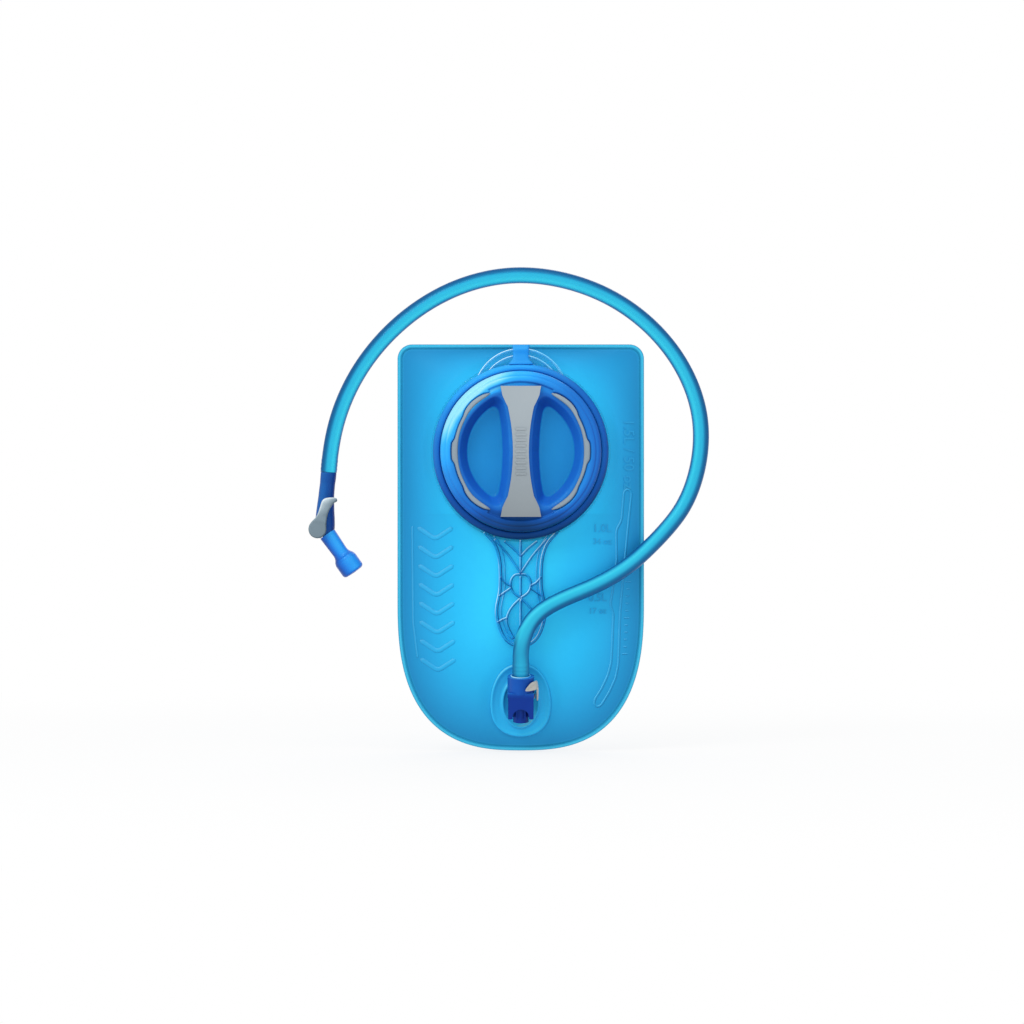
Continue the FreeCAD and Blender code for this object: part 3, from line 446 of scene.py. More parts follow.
class Shader:
    """A node material put together with short calls"""

    def __init__(self, name):
        self.material = bpy.data.materials.new(name)
        self.material.use_nodes = True
        self.tree = self.material.node_tree
        self.tree.nodes.clear()
        self.output = self.node("OutputMaterial")

    def node(self, kind, **settings):
        made = self.tree.nodes.new("ShaderNode" + kind)
        for key, value in settings.items():
            setattr(made, key, value)
        return made

    def feed(self, value, socket):
        """Link an output, or store a plain value"""
        if isinstance(value, bpy.types.NodeSocket):
            self.tree.links.new(value, socket)
        else:
            socket.default_value = value

    def math(self, operation, first, second=None, clamp=False):
        made = self.node("Math", operation=operation, use_clamp=clamp)
        self.feed(first, made.inputs[0])
        if second is not None:
            self.feed(second, made.inputs[1])
        return made.outputs[0]

    def add(self, first, second, clamp=False):
        return self.math("ADD", first, second, clamp)

    def sub(self, first, second, clamp=False):
        return self.math("SUBTRACT", first, second, clamp)

    def mul(self, first, second, clamp=False):
        return self.math("MULTIPLY", first, second, clamp)

    def limit(self, value):
        """Hold between -1 and 1"""
        return self.math("MAXIMUM", self.math("MINIMUM", value, 1.0), -1.0)

    def ramp(self, value, stops, gain=1.0, interpolation="LINEAR"):
        made = self.node("ValToRGB")
        band = made.color_ramp
        band.interpolation = interpolation
        while len(band.elements) > 1:
            band.elements.remove(band.elements[-1])
        band.elements[0].position = stops[0][0]
        band.elements[0].color = brighten(stops[0][1], gain)
        for position, shade in stops[1:]:
            band.elements.new(position).color = brighten(shade, gain)
        self.feed(value, made.inputs["Fac"])
        return made.outputs["Color"]

    def mix(self, share, first, second, blend="MIX"):
        made = self.node("Mix", data_type="RGBA", blend_type=blend)
        self.feed(share, made.inputs["Factor"])
        self.feed(first, made.inputs[6])
        self.feed(second, made.inputs[7])
        return made.outputs[2]

    def coords(self):
        return self.node("TexCoord").outputs["Object"]

    def axes(self, vector):
        made = self.node("SeparateXYZ")
        self.feed(vector, made.inputs[0])
        return made.outputs

    def length(self, vector):
        made = self.node("VectorMath", operation="LENGTH")
        self.feed(vector, made.inputs[0])
        return made.outputs["Value"]

    def attribute(self, name):
        return self.node("Attribute", attribute_name=name).outputs["Fac"]

    def noise(self, scale, detail=3.0, rough=0.5):
        vector = self.coords()
        made = self.node("TexNoise")
        for key, value in (("Scale", scale), ("Detail", detail), ("Roughness", rough),
                           ("Vector", vector)):
            self.feed(value, made.inputs[key])
        return made.outputs["Fac"]

    def jitter(self, scale, amount, detail=3.0, rough=0.55):
        """Noise about zero, amount from end to end"""
        return self.mul(self.sub(self.noise(scale, detail, rough), 0.5), amount)

    def mottle(self, first, second, scale):
        return self.ramp(self.noise(scale, 4.0, 0.55), [(0.3, first), (0.7, second)])

    def grain(self, scale, strength, distance=0.0001, detail=2.0, rough=0.6, under=None):
        """Noise bump, laid over another normal when given"""
        height = self.noise(scale, detail, rough)
        made = self.node("Bump")
        self.feed(strength, made.inputs["Strength"])
        self.feed(distance, made.inputs["Distance"])
        self.feed(height, made.inputs["Height"])
        if under is not None:
            self.feed(under, made.inputs["Normal"])
        return made.outputs["Normal"]

    def facing(self):
        """0 seen head-on, 1 at a glancing angle"""
        made = self.node("LayerWeight")
        made.inputs["Blend"].default_value = 0.5
        return made.outputs["Facing"]

    def head_on(self):
        return self.sub(1.0, self.facing())

    def off_centre(self):
        """Sine of the viewing angle: 0 along the middle of a round bar, 1 at its rims"""
        cosine = self.head_on()
        return self.math("SQRT", self.sub(1.0, self.mul(cosine, cosine), clamp=True))

    def painted_light_facing(self, side=KEY_SIDE):
        """Painted light: how far the surface faces a side, 0 to 1; its front and back count the
        same
        """
        normal = self.axes(self.node("NewGeometry").outputs["Normal"])
        outward = self.math("ABSOLUTE", normal["Y"])
        total = self.add(self.mul(normal["X"], side[0]), self.mul(outward, side[1]))
        total = self.add(total, self.mul(normal["Z"], side[2]))
        return self.add(self.mul(total, 0.5), 0.5, clamp=True)

    def slope(self, direction):
        """0.5 where the surface is square to a direction, 1 facing it"""
        geometry = self.node("NewGeometry")
        dot = self.node("VectorMath", operation="DOT_PRODUCT")
        dot.inputs[1].default_value = direction
        self.feed(geometry.outputs["Normal"], dot.inputs[0])
        return self.add(self.mul(dot.outputs["Value"], 0.5), 0.5)

    def principled(self, base, rough, **inputs):
        made = self.node("BsdfPrincipled")
        self.feed(base, made.inputs["Base Color"])
        self.feed(rough, made.inputs["Roughness"])
        for key, value in inputs.items():
            self.feed(value, made.inputs[key.replace("_", " ")])
        return made

    def blend(self, share, first, second):
        made = self.node("MixShader")
        self.feed(share, made.inputs[0])
        self.feed(first.outputs[0], made.inputs[1])
        self.feed(second.outputs[0], made.inputs[2])
        return made

    def cover(self, share, tint, surface):
        """Lay a surface over tinted straight-through light"""
        through = self.node("BsdfTransparent")
        through.inputs["Color"].default_value = tint
        return self.blend(share, through, surface)

    def finish(self, shader):
        self.feed(shader.outputs[0], self.output.inputs["Surface"])
        return self.material


# ------------------------------------------------------------------ material kinds
def moulded(name, first, second, rough=0.28, coat=0.3, grain=900.0, relief=0.08):
    """Solid plastic or rubber, mottled between two colours"""
    mat = Shader(name)
    shade = mat.mottle(first, second, scale=45.0)
    sheen = mat.ramp(mat.noise(120.0, 5.0, 0.6),
                     [(0.25, rough * 0.8), (0.8, min(1, rough * 1.3))])
    normal = mat.grain(grain, relief)
    normal = mat.grain(55.0, 0.05, distance=0.0004, rough=0.5, under=normal)
    return mat.finish(mat.principled(shade, sheen, Coat_Weight=coat, Coat_Roughness=0.12,
                                     Normal=normal))


def clear(name, tint, body, rough, thin, thick, power):
    """See-through plastic: thin is its body seen head-on, thick at glancing angles"""
    mat = Shader(name)
    normal = mat.grain(400.0, 0.06, detail=3.0)
    shade = mat.mottle(body, brighten(body, 1.12), scale=70.0)
    surface = mat.principled(shade, rough, Coat_Weight=0.6, Coat_Roughness=0.05, Normal=normal)
    share = mat.mul(mat.math("POWER", mat.facing(), power), thick - thin)
    return mat.finish(mat.cover(mat.add(share, thin, clamp=True), tint, surface))


def tinted(name, stops, rough, specular, coat):
    """Coloured moulding with painted light and shade: its colour follows the side that faces the
    light
    """
    mat = Shader(name)
    light = mat.add(mat.painted_light_facing(), mat.jitter(60.0, 0.10), clamp=True)
    shade = mat.ramp(light, stops)
    normal = mat.grain(900.0, 0.05)
    normal = mat.grain(45.0, 0.04, distance=0.0004, rough=0.5, under=normal)
    sheen = mat.ramp(mat.noise(110.0, 4.0, 0.6), [(0.3, rough * 0.85), (0.75, rough * 1.25)])
    return mat.finish(mat.principled(
        shade, sheen, Coat_Weight=coat * 0.3, Coat_Roughness=0.12, Normal=normal,
        Emission_Color=shade, Emission_Strength=0.0, **blue_sheen(specular)))


# film colours: body by its painted light and shade, weld by distance in from the edge in
# centimetres, with a painted highlight along the bead and painted shade in the crease inside it
FILM_BODY_PAINTED_LIGHT = [(0.0, "#2389c2"), (0.06, "#248dc6"), (0.17, "#2493cc"), (0.35, "#279ed8"),
             (0.49, "#29a8e2"), (0.69, "#2ab6ee"), (0.80, "#2bbef6"), (0.90, "#2fc6fc"),
             (0.97, "#33cfff")]
FILM_WELD_PAINTED_LIGHT = [(0.0, "#2a92bd"), (0.05, "#3fb4da"), (0.12, "#45bfe4"), (0.20, "#35acd6"),
             (0.26, "#2394c2"), (0.30, "#1c82b0"), (0.35, "#2897ca"), (0.46, "#2898d0")]


def film_material(name, gain=1.0, specular=0.18, relief=0.0, rough=0.42):
    """Tinted glossy film, deeper near the weld: its colour follows the film's painted light and
    shade, with painted shade at glancing angles and a painted highlight and shade along the
    weld; relief paints light and shade on raised marks by their slope
    """
    mat = Shader(name)
    inset = mat.attribute("inset")
    fill = mat.attribute("tone")
    broad = mat.jitter(14.0, 0.10, rough=0.5)
    fine = mat.jitter(260.0, 0.05, rough=0.6)
    fill = mat.add(mat.add(fill, broad), fine, clamp=True)
    # body colour from the painted light and shade of the film, with small random changes
    body = mat.ramp(fill, FILM_BODY_PAINTED_LIGHT, gain)
    inset = mat.math("DIVIDE", inset, 10.0, clamp=True)
    weld = mat.ramp(inset, FILM_WELD_PAINTED_LIGHT, gain)
    inside = mat.ramp(inset, [(0.0, 0), (0.34, 0), (0.46, 1)])
    shade = mat.mix(inside, weld, body)
    # painted shade at glancing angles
    glancing = mat.ramp(mat.facing(), [(0.0, 0), (0.25, 0.04), (0.6, 0.45), (1.0, 0.75)])
    shade = mat.mix(glancing, shade, brighten("#1f80b4", gain))
    if relief:
        # raised marks: painted shade on the sides facing away from the light, a painted
        # highlight on those facing it
        slope_painted_light = mat.ramp(mat.slope((-0.6, 0.0, 0.8)),
                         [(0.12, "#1873ab"), (0.46, "#2aa4dc"), (0.54, "#33b4ea"),
                          (0.9, "#7fdcff")], gain)
        shade = mat.mix(relief, shade, slope_painted_light)
    normal = mat.grain(650.0, 0.05, detail=3.0)
    normal = mat.grain(30.0, 0.08, distance=0.0005, detail=3.0, rough=0.5, under=normal)
    sheen = mat.ramp(mat.noise(40.0, 4.0, 0.6), [(0.3, rough - 0.06), (0.75, rough + 0.08)])
    return mat.finish(mat.principled(
        shade, sheen, Normal=normal, Emission_Color=shade, Emission_Strength=0.0,
        **blue_sheen(specular, PALE_TINT)))


def hose_material():
    """Clear blue hose: a painted highlight along the half nearer the cap axis, painted shade on
    the outer half, and the walls go deep at both rims
    """
    mat = Shader("tube_clear_blue")
    side = mat.attribute("side")
    off = mat.off_centre()
    side = mat.limit(mat.mul(side, 2.5))
    wobble = mat.jitter(22.0, 0.12, rough=0.5)
    across = mat.add(mat.mul(mat.mul(off, side), 0.5), 0.5)
    across = mat.add(across, wobble, clamp=True)
    # painted highlight towards the cap axis, painted shade towards the outside
    shade = mat.ramp(across, [
        (0.0, "#135c98"), (0.05, "#15649e"), (0.10, "#2595c6"), (0.17, "#3ac4e6"),
        (0.26, "#3ed4f0"), (0.36, "#38ccea"), (0.48, "#33c0e4"), (0.58, "#2dacd6"),
        (0.70, "#238cbc"), (0.80, "#1a6da0"), (0.90, "#11588e"), (1.0, "#145c92")])
    rims = mat.ramp(off, [(0.0, 0), (0.50, 0), (0.78, 0.8), (0.9, 1)])
    rims = mat.mul(rims, mat.sub(1.0, mat.math("ABSOLUTE", side)))
    shade = mat.mix(rims, shade, colour("#135a92"))
    normal = mat.grain(500.0, 0.03, detail=3.0)
    surface = mat.principled(shade, 0.22, Coat_Weight=0.03, Coat_Roughness=0.10,
                             Normal=normal, **blue_sheen(0.15))
    share = mat.add(mat.mul(off, 0.08), 0.92, clamp=True)
    return mat.finish(mat.cover(share, (0.18, 0.62, 0.82, 1), surface))


# grey lever: where its arm begins, and the line that parts its painted highlight from the
# painted shade beside it (metres)
LEVER_FOOT_Z = -0.0455
LEVER_LINE_X, LEVER_LINE_Z, LEVER_LINE_LEAN = -0.1290, -0.0400, 0.42


def lever_material():
    """Grey lever: painted shade on the hub, lighter up the arm, a painted highlight along the
    left edge of the arm and painted shade right of it
    """
    mat = Shader("lever_soft_grey")
    where = mat.axes(mat.coords())
    arm = mat.mul(mat.sub(where["Z"], LEVER_FOOT_Z), 62.0, clamp=True)
    highlight_side = mat.sub(mat.sub(where["X"], LEVER_LINE_X),
                   mat.mul(mat.sub(where["Z"], LEVER_LINE_Z), LEVER_LINE_LEAN))
    highlight_side = mat.mul(highlight_side, 150.0)
    # painted light: by the side faced, lighter up the arm, a painted highlight left of the line
    # and painted shade right of it
    value = mat.add(mat.mul(mat.painted_light_facing(), 0.64), mat.mul(arm, 0.48))
    value = mat.sub(value, mat.mul(mat.limit(highlight_side), mat.mul(arm, 0.34)))
    value = mat.add(value, mat.jitter(60.0, 0.10), clamp=True)
    shade = mat.ramp(value, [
        (0.10, "#3c4c58"), (0.30, "#53656f"), (0.44, "#6b7c86"), (0.56, "#7a8c97"),
        (0.70, "#93a5af"), (0.84, "#b9c9d0"), (0.97, "#dbe6ea")])
    return mat.finish(mat.principled(shade, 0.42, Normal=mat.grain(1200.0, 0.12),
                                     Specular_IOR_Level=0.15))


def bite_material():
    """Soft clear blue mouthpiece: painted shade at its rims and on the side away from the light,
    a painted highlight through the middle
    """
    mat = Shader("bite_silicone")
    centre = mat.head_on()
    light = mat.painted_light_facing((0.55, 0.40, 0.30))
    # painted highlight head-on, painted shade at the rims and away from the light
    value = mat.add(mat.mul(centre, 0.55), mat.mul(mat.sub(light, 0.5), 0.85))
    value = mat.add(value, mat.jitter(70.0, 0.16), clamp=True)
    shade = mat.ramp(value, [(0.15, "#12479e"), (0.35, "#175cc0"), (0.55, "#1e77dc"),
                             (0.72, "#2a96f0"), (0.84, "#36aef8"), (0.97, "#5cc4fa")])
    return mat.finish(mat.principled(shade, 0.30, Coat_Weight=0.04,
                                     Normal=mat.grain(900.0, 0.05),
                                     **blue_sheen(0.25, SOFT_TINT)))


def socket_material():
    """Outlet socket: paler collar at the tube end, deep body below, both with painted light and
    shade by the side each surface faces
    """
    mat = Shader("outlet_socket_blue")
    where = mat.axes(mat.coords())
    # both ramps below follow the painted light by the side each surface faces
    light = mat.add(mat.painted_light_facing(), mat.jitter(80.0, 0.10), clamp=True)
    deep = mat.ramp(light, [(0.15, "#081450"), (0.45, "#0c2070"), (0.70, "#12308c"),
                            (0.84, "#183e9e"), (0.95, "#2c62bc")])
    pale = mat.ramp(light, [(0.15, "#10358a"), (0.45, "#1444a0"), (0.70, "#144aa6"),
                            (0.82, "#1a58b6"), (0.90, "#2c7cd2"), (0.97, "#54a8ec")])
    # millimetres along the tilted socket from the outlet centre
    along = mat.add(mat.mul(where["Z"], TILT_COS), mat.mul(where["Y"], -TILT_SIN))
    centre = (OUTLET_Z * TILT_COS + OUTLET_D * TILT_SIN) * MM
    along = mat.mul(mat.sub(along, centre), 1 / MM)
    along = mat.add(along, mat.jitter(120.0, 1.0, detail=2.0, rough=0.5))
    collar = mat.ramp(mat.math("DIVIDE", along, 20.0),
                      [(0.0, 0), (0.28, 0), (0.40, 0.35), (0.46, 1)])
    shade = mat.mix(collar, deep, pale)
    return mat.finish(mat.principled(
        shade, 0.24, Coat_Weight=0.04, Coat_Roughness=0.10, Normal=mat.grain(700.0, 0.05),
        **blue_sheen(0.2)))


def steel_material():
    mat = Shader("spring_steel")
    shade = mat.mottle("#a9adb2", "#c6c9cd", scale=300.0)
    return mat.finish(mat.principled(
        shade, 0.25, Metallic=1.0, Normal=mat.grain(2500.0, 0.1, detail=3.0, rough=0.5)))


def painted_light_ramp(mat, light, amount):
    """Painted light and shade carried round the cap: the stored values, nudged by the side that
    faces the painted light direction
    """
    painted_light = mat.attribute("painted_light")
    value = mat.add(painted_light, mat.mul(mat.sub(light, 0.76), amount), clamp=True)
    return mat.ramp(value, [
        (0.0, "#0a2f62"), (0.12, "#0e3a74"), (0.30, "#144a98"), (0.42, "#195cb6"),
        (0.54, "#2272c8"), (0.66, "#2888dc"), (0.76, "#2a9ef0"), (0.86, "#36b0f6"),
        (0.94, "#68ccf6"), (1.0, "#92dcfa")])


def lifting_ring_material():
    mat = Shader("tether_ring_blue")
    # painted light and shade round the ring, nudged by the side it faces
    light = mat.add(mat.painted_light_facing(CROWN_SIDE), mat.jitter(50.0, 0.06), clamp=True)
    shade = painted_light_ramp(mat, light, 0.6)
    return mat.finish(mat.principled(
        shade, 0.28, Coat_Weight=0.04, Coat_Roughness=0.12,
        Normal=mat.grain(800.0, 0.04, rough=0.5), **blue_sheen(0.15)))


def grip_material(name, first, second, low, rib=None):
    """Soft grey grip with painted shade: low is how dark the lower end is painted, rib how dark
    what stands proud is painted; it is also painted darker on the side away from the light
    """
    mat = Shader(name)
    where = mat.axes(mat.coords())
    shade = mat.mottle(first, second, scale=45.0)
    # painted shade towards the lower end
    height = mat.add(mat.mul(where["Z"], 11.5), 0.5, clamp=True)
    shade = mat.mix(1.0, shade, mat.ramp(height, [(0.0, low), (0.5, 0.93), (0.85, 1)]),
                    "MULTIPLY")
    shadow = mat.ramp(mat.painted_light_facing(), [(0.35, (0.55, 0.60, 0.66, 1)),
                                  (0.68, (0.92, 0.93, 0.94, 1)), (0.80, 1)])
    shade = mat.mix(1.0, shade, shadow, "MULTIPLY")
    if rib is not None:
        # painted shade on the raised ribs
        proud = mat.sub(mat.mul(where["Y"], -1 / MM), 49.5)
        shade = mat.mix(1.0, shade, mat.ramp(proud, [(0.0, 1), (0.08, 1), (0.22, rib)]),
                        "MULTIPLY")
    return mat.finish(mat.principled(shade, 0.55, Normal=mat.grain(1400.0, 0.22),
                                     Specular_IOR_Level=0.2))


def line_material(name, dark, middle, light, faint, strong):
    """Clear moulded line: faint from straight above, strong at its sides, with painted shade on
    the side away from the light, a painted highlight on the side towards it and a weak painted
    emission
    """
    mat = Shader(name)
    value = mat.add(mat.slope((-0.62, 0.0, 0.78)), mat.jitter(90.0, 0.25, rough=0.6),
                    clamp=True)
    shade = mat.ramp(value, [(0.0, dark), (0.42, dark), (0.54, middle), (0.68, middle),
                             (0.84, light), (1.0, light)])
    share = mat.ramp(mat.off_centre(),
                     [(0.0, faint), (0.30, faint), (0.62, strong), (1.0, strong)])
    # painted light: a weak emission of the same colours
    surface = mat.principled(shade, 0.2, Normal=mat.grain(500.0, 0.04),
                             Emission_Color=shade, Emission_Strength=0.22,
                             **blue_sheen(0.15, SOFT_TINT))
    # the lines cast only a light shadow
    shadow_ray = mat.node("LightPath").outputs["Is Shadow Ray"]
    share = mat.mul(share, mat.sub(1.0, mat.mul(shadow_ray, 0.8)))
    return mat.finish(mat.cover(share, (0.97, 0.995, 1.0, 1), surface))


def cap_material():
    """Royal blue cap: the crown carries painted light and shade round the cap, the pocket walls
    painted shade by the side they face, the two pockets have a paler floor
    """
    mat = Shader("cap_blue")
    where = mat.axes(mat.coords())
    depth = mat.mul(where["Y"], -1 / MM)
    flat = mat.node("CombineXYZ")
    mat.feed(where["X"], flat.inputs[0])
    mat.feed(where["Z"], flat.inputs[1])
    radius = mat.mul(mat.length(flat.outputs[0]), 1 / MM)
    light = mat.add(mat.painted_light_facing(CROWN_SIDE), mat.jitter(40.0, 0.06), clamp=True)
    crown = painted_light_ramp(mat, light, 0.55)
    floor = mat.ramp(mat.noise(26.0), [(0.3, "#1f88c8"), (0.7, "#2490d2")])
    # pocket walls: painted shade by the side they face
    wall = mat.ramp(light, [(0.25, "#11409a"), (0.55, "#1757b8"), (0.8, "#1f6ece")])
    height = mat.math("DIVIDE", mat.sub(depth, POCKET_FLOOR), CAP_FACE - POCKET_FLOOR)
    above_floor = mat.ramp(height, [(0.0, 0), (0.03, 0.1), (0.12, 1)])
    on_crown = mat.ramp(height, [(0.80, 0), (0.985, 1)])
    shade = mat.mix(above_floor, floor, wall)
    shade = mat.mix(on_crown, shade, crown)
    low = mat.ramp(mat.math("DIVIDE", mat.sub(depth, 33.0), 1.0), [(0.0, 1), (0.75, 0)])
    far = mat.ramp(mat.math("DIVIDE", radius, 60.0), [(0.70, 0), (0.80, 1)])
    shade = mat.mix(mat.math("MAXIMUM", low, far), shade, crown)
    normal = mat.grain(800.0, 0.04, rough=0.5)
    normal = mat.grain(50.0, 0.04, distance=0.0004, rough=0.5, under=normal)
    # a weak emission of the same colours is painted light that lifts the shaded parts
    return mat.finish(mat.principled(
        shade, 0.24, Coat_Weight=0.05, Coat_Roughness=0.10, Normal=normal,
        Emission_Color=shade, Emission_Strength=0.08, **blue_sheen(0.2)))


CAP_FACE = 46.5             # depth of the cap's flat face
POCKET_FLOOR = 34.0         # depth of the floor in its two pockets

# keyed by material slot; a few more keys are used only by the pieces below
materials = {
    "film": film_material("film_blue"),
    "film_back": film_material("film_back_blue"),
    # marks and lettering carry painted shade and painted highlights on their sides; the
    # lettering is painted a little brighter than the film
    "film_mark": film_material("film_mark", specular=0.25, relief=0.35, rough=0.36),
    "film_text": film_material("film_text", gain=1.03, specular=0.3, relief=0.85,
                               rough=0.34),
    "neck": moulded("neck_blue", "#1f74b8", "#2a86c8"),
    "clear_frame": clear("clear_frame", (0.97, 0.995, 1.0, 1), "#0f5c90",
                         rough=0.07, thin=0.04, thick=1.0, power=2.6),
    "clear_web": clear("clear_web", (0.985, 0.998, 1.0, 1), "#2c9ad0",
                       rough=0.10, thin=0.02, thick=0.5, power=3.5),
    "arch_clear": clear("arch_clear", (0.95, 0.99, 1.0, 1), "#2f93c8",
                        rough=0.08, thin=0.04, thick=0.95, power=1.5),
    "outlet_clear": clear("outlet_clear", (0.62, 0.88, 0.96, 1), "#46b6ea",
                          rough=0.12, thin=0.30, thick=0.85, power=2.0),
    # tether, strap, outlet film, valve and lip colours run from painted shade to painted
    # highlight by the side each surface faces
    "tether": tinted("tether_blue", [
        (0.05, "#0f3a78"), (0.35, "#164e98"), (0.62, "#1c68b8"), (0.80, "#2685d4"),
        (0.95, "#48a8ea")], rough=0.30, specular=0.12, coat=0.12),
    "strap": tinted("strap_blue", [
        (0.05, "#1a62b4"), (0.5, "#1f7cd6"), (0.8, "#2490e6"), (0.95, "#38a2ec")],
        rough=0.30, specular=0.12, coat=0.1),
    "grip": moulded("grip_soft_grey", "#95a2aa", "#a3aeb6", rough=0.55, coat=0.0,
                    grain=1400.0, relief=0.25),
    "button": moulded("button_beige", "#a8a8a4", "#b9b7b0", rough=0.42, coat=0.1),
    "seal": moulded("seal_rubber", "#1b1b1e", "#26262a", rough=0.55, coat=0.0),
    "poppet": moulded("poppet_white", "#d9dde0", "#e6e8ea", rough=0.35, coat=0.1),
    "connector": moulded("connector_grey", "#8ea9bd", "#9db7c9", rough=0.3, coat=0.2),
    "outlet_film": tinted("outlet_film", [
        (0.10, "#1a7cb6"), (0.45, "#2494d0"), (0.66, "#2aaae6"), (0.76, "#2fb8f2"),
        (0.86, "#3cc6f8"), (0.96, "#6cd6fa")], rough=0.25, specular=0.2, coat=0.2),
    "tube": hose_material(),
    "valve": tinted("valve_dark", [
        (0.05, "#0a1f62"), (0.40, "#102c78"), (0.66, "#17448e"), (0.82, "#1a509c"),
        (0.95, "#2668b4")], rough=0.26, specular=0.15, coat=0.2),
    "lever": lever_material(),
    "bite": bite_material(),
    "outlet_dark": socket_material(),
    "lip": tinted("outlet_lip_blue", [
        (0.10, "#1a62b8"), (0.50, "#2682d6"), (0.75, "#38a6ec"), (0.86, "#62c6f6"),
        (0.95, "#a4e2fb")], rough=0.25, specular=0.2, coat=0.1),
    "spring": steel_material(),
    "cap": cap_material(),
    "tether_ring": lifting_ring_material(),
    "pad": grip_material("grip_pad_grey", "#aebac2", "#b4bfc6", low=0.66, rib=0.80),
    "side": grip_material("side_grip_grey", "#8c9ca8", "#97a6b1", low=0.92),
    "line": line_material("handle_line", "#0a4c8c", "#1f93d6", "#bdeeff",
                          faint=0.12, strong=0.95),
    "line_fine": line_material("handle_line_fine", "#0f66a8", "#25a4e2", "#a8e6ff",
                               faint=0.10, strong=0.85),
    "line_arch": line_material("arch_line", "#3a9cd2", "#7ccbee", "#e0f6ff",
                               faint=0.30, strong=0.90),
}
slot_of = {part["node"]: part["material_slot"] for part in frame["record"]["subparts"]}


def paint(ob, key):
    slots = ob.data.materials
    if slots:
        for i in range(len(slots)):
            slots[i] = materials[key]
    else:
        slots.append(materials[key])


def attach(ob, body, slot, key, *nodes):
    """Paint a piece and tell the frame what it rides on and which CAD pieces it replaces"""
    paint(ob, key)
    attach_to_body(ob, body)
    if nodes:
        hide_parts(*nodes)


def attach_flexible(ob, slot, key, *nodes):
    """Paint a piece that runs between two bodies and hide the CAD pieces it replaces"""
    paint(ob, key)
    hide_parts(*nodes)


for name in frame["nodes"]:
    node_object = bpy.data.objects.get(name)
    if node_object is not None:
        paint(node_object, slot_of[name])


# ------------------------------------------------------------------ bag film
def bag_outline(step):
    """Even (x, z) points round the bag edge, counter-clockwise from the right"""
    arc_x, arc_z = HALF_W - CORNER_R, TOP_Z - CORNER_R

    def corner(centre_x, start):
        return [(centre_x + CORNER_R * math.cos(a), arc_z + CORNER_R * math.sin(a))
                for a in np.linspace(start, start + math.pi / 2, 24, endpoint=False)]

    points = [(HALF_W, z) for z in np.linspace(BELLY_Z, arc_z, 120, endpoint=False)]
    points += corner(arc_x, 0)
    points += [(x, TOP_Z) for x in np.linspace(arc_x, -arc_x, 120, endpoint=False)]
    points += corner(-arc_x, math.pi / 2)
    points += [(-HALF_W, z) for z in np.linspace(arc_z, BELLY_Z, 120, endpoint=False)]
    for a in np.linspace(math.pi, 2 * math.pi, 900, endpoint=False):
        cosine, sine = math.cos(a), math.sin(a)
        points.append((HALF_W * math.copysign(abs(cosine) ** (2 / BELLY_POWER), cosine),
                       BELLY_Z - BELLY_H * abs(sine) ** (2 / BELLY_POWER)))
    loop = np.array(points + points[:1])
    lengths = arc_lengths(loop)
    stations = np.linspace(0, lengths[-1], int(lengths[-1] / step), endpoint=False)
    return np.column_stack([np.interp(stations, lengths, loop[:, i]) for i in (0, 1)])


def inset_loop(loop, inset):
    tangent = np.roll(loop, -1, 0) - np.roll(loop, 1, 0)
    tangent /= np.linalg.norm(tangent, axis=1)[:, None]
    return loop + np.column_stack([-tangent[:, 1], tangent[:, 0]]) * inset


def film_rings(edge, insets, edge_depth, target, shares, inner_depth):
    """Rings set in from the edge, then rings closing on a target, and their inset values"""
    rings, values = [], []
    for inset in insets:
        base = inset_loop(edge, inset)
        rings.append(at_depth(base, edge_depth(*base.T, inset)))
        values.append(np.full(len(base), inset))
    inner = target(base)
    for share in shares:
        loop = lerp(base, inner, share)
        rings.append(at_depth(loop, inner_depth(*loop.T)))
        values.append(insets[-1] + np.linalg.norm(loop - base, axis=1))
    return rings, values


# inset from the weld, and the painted light and shade of the film, for each point
def film_values(insets, points):
    return {"inset": np.concatenate(insets), "tone": tone(points[:, 0], points[:, 1])}


FRONT_INSETS = [0.0, 0.25, 0.6, 1.0, 1.4, 1.8, 2.2, 2.5, 2.8, 3.1, 3.5, 4.2, 5.2, 6.5, 8.0]
BACK_INSETS = [0.0, 0.6, 1.2, 1.8, 2.4, 3.0, 4.0, 5.5, 8.0]
PORT_R = 46.45              # hole in the front film under the cap
BEAD_W = 2.5                # rounded bead along the weld
BACK_CENTRE = np.array([0.0, -60.0])


def weld_depth(x, z, inset):
    """Front level with the bead on the weld and the crease inside it"""
    bead = 0.0
    if inset < BEAD_W:
        bead = np.sqrt(max(0.0, 1 - ((inset - BEAD_W / 2) / (BEAD_W / 2)) ** 2)) * 0.95
    crease = -0.16 * math.exp(-((inset - 3.0) / 0.45) ** 2)
    return front_level(x, z) + bead + crease


def build_front_film():
    count = 84
    rings, insets = film_rings(
        bag_outline(1.2), FRONT_INSETS, weld_depth,
        lambda base: round_points(PORT_R, np.arctan2(base[:, 1], base[:, 0])),
        [i / count for i in range(1, count + 1)], film_depth)
    outside = [placed(ring) for ring in rings]
    inside = [placed(ring - (0, 0, FILM)) for ring in rings[::-1]]
    front = new_mesh("film_front", *loft(outside + inside, "wrap"),
                     film_values(insets + insets[::-1], np.concatenate(rings + rings[::-1])))
    attach(front, "reservoir", "film", "film", "front_panel")


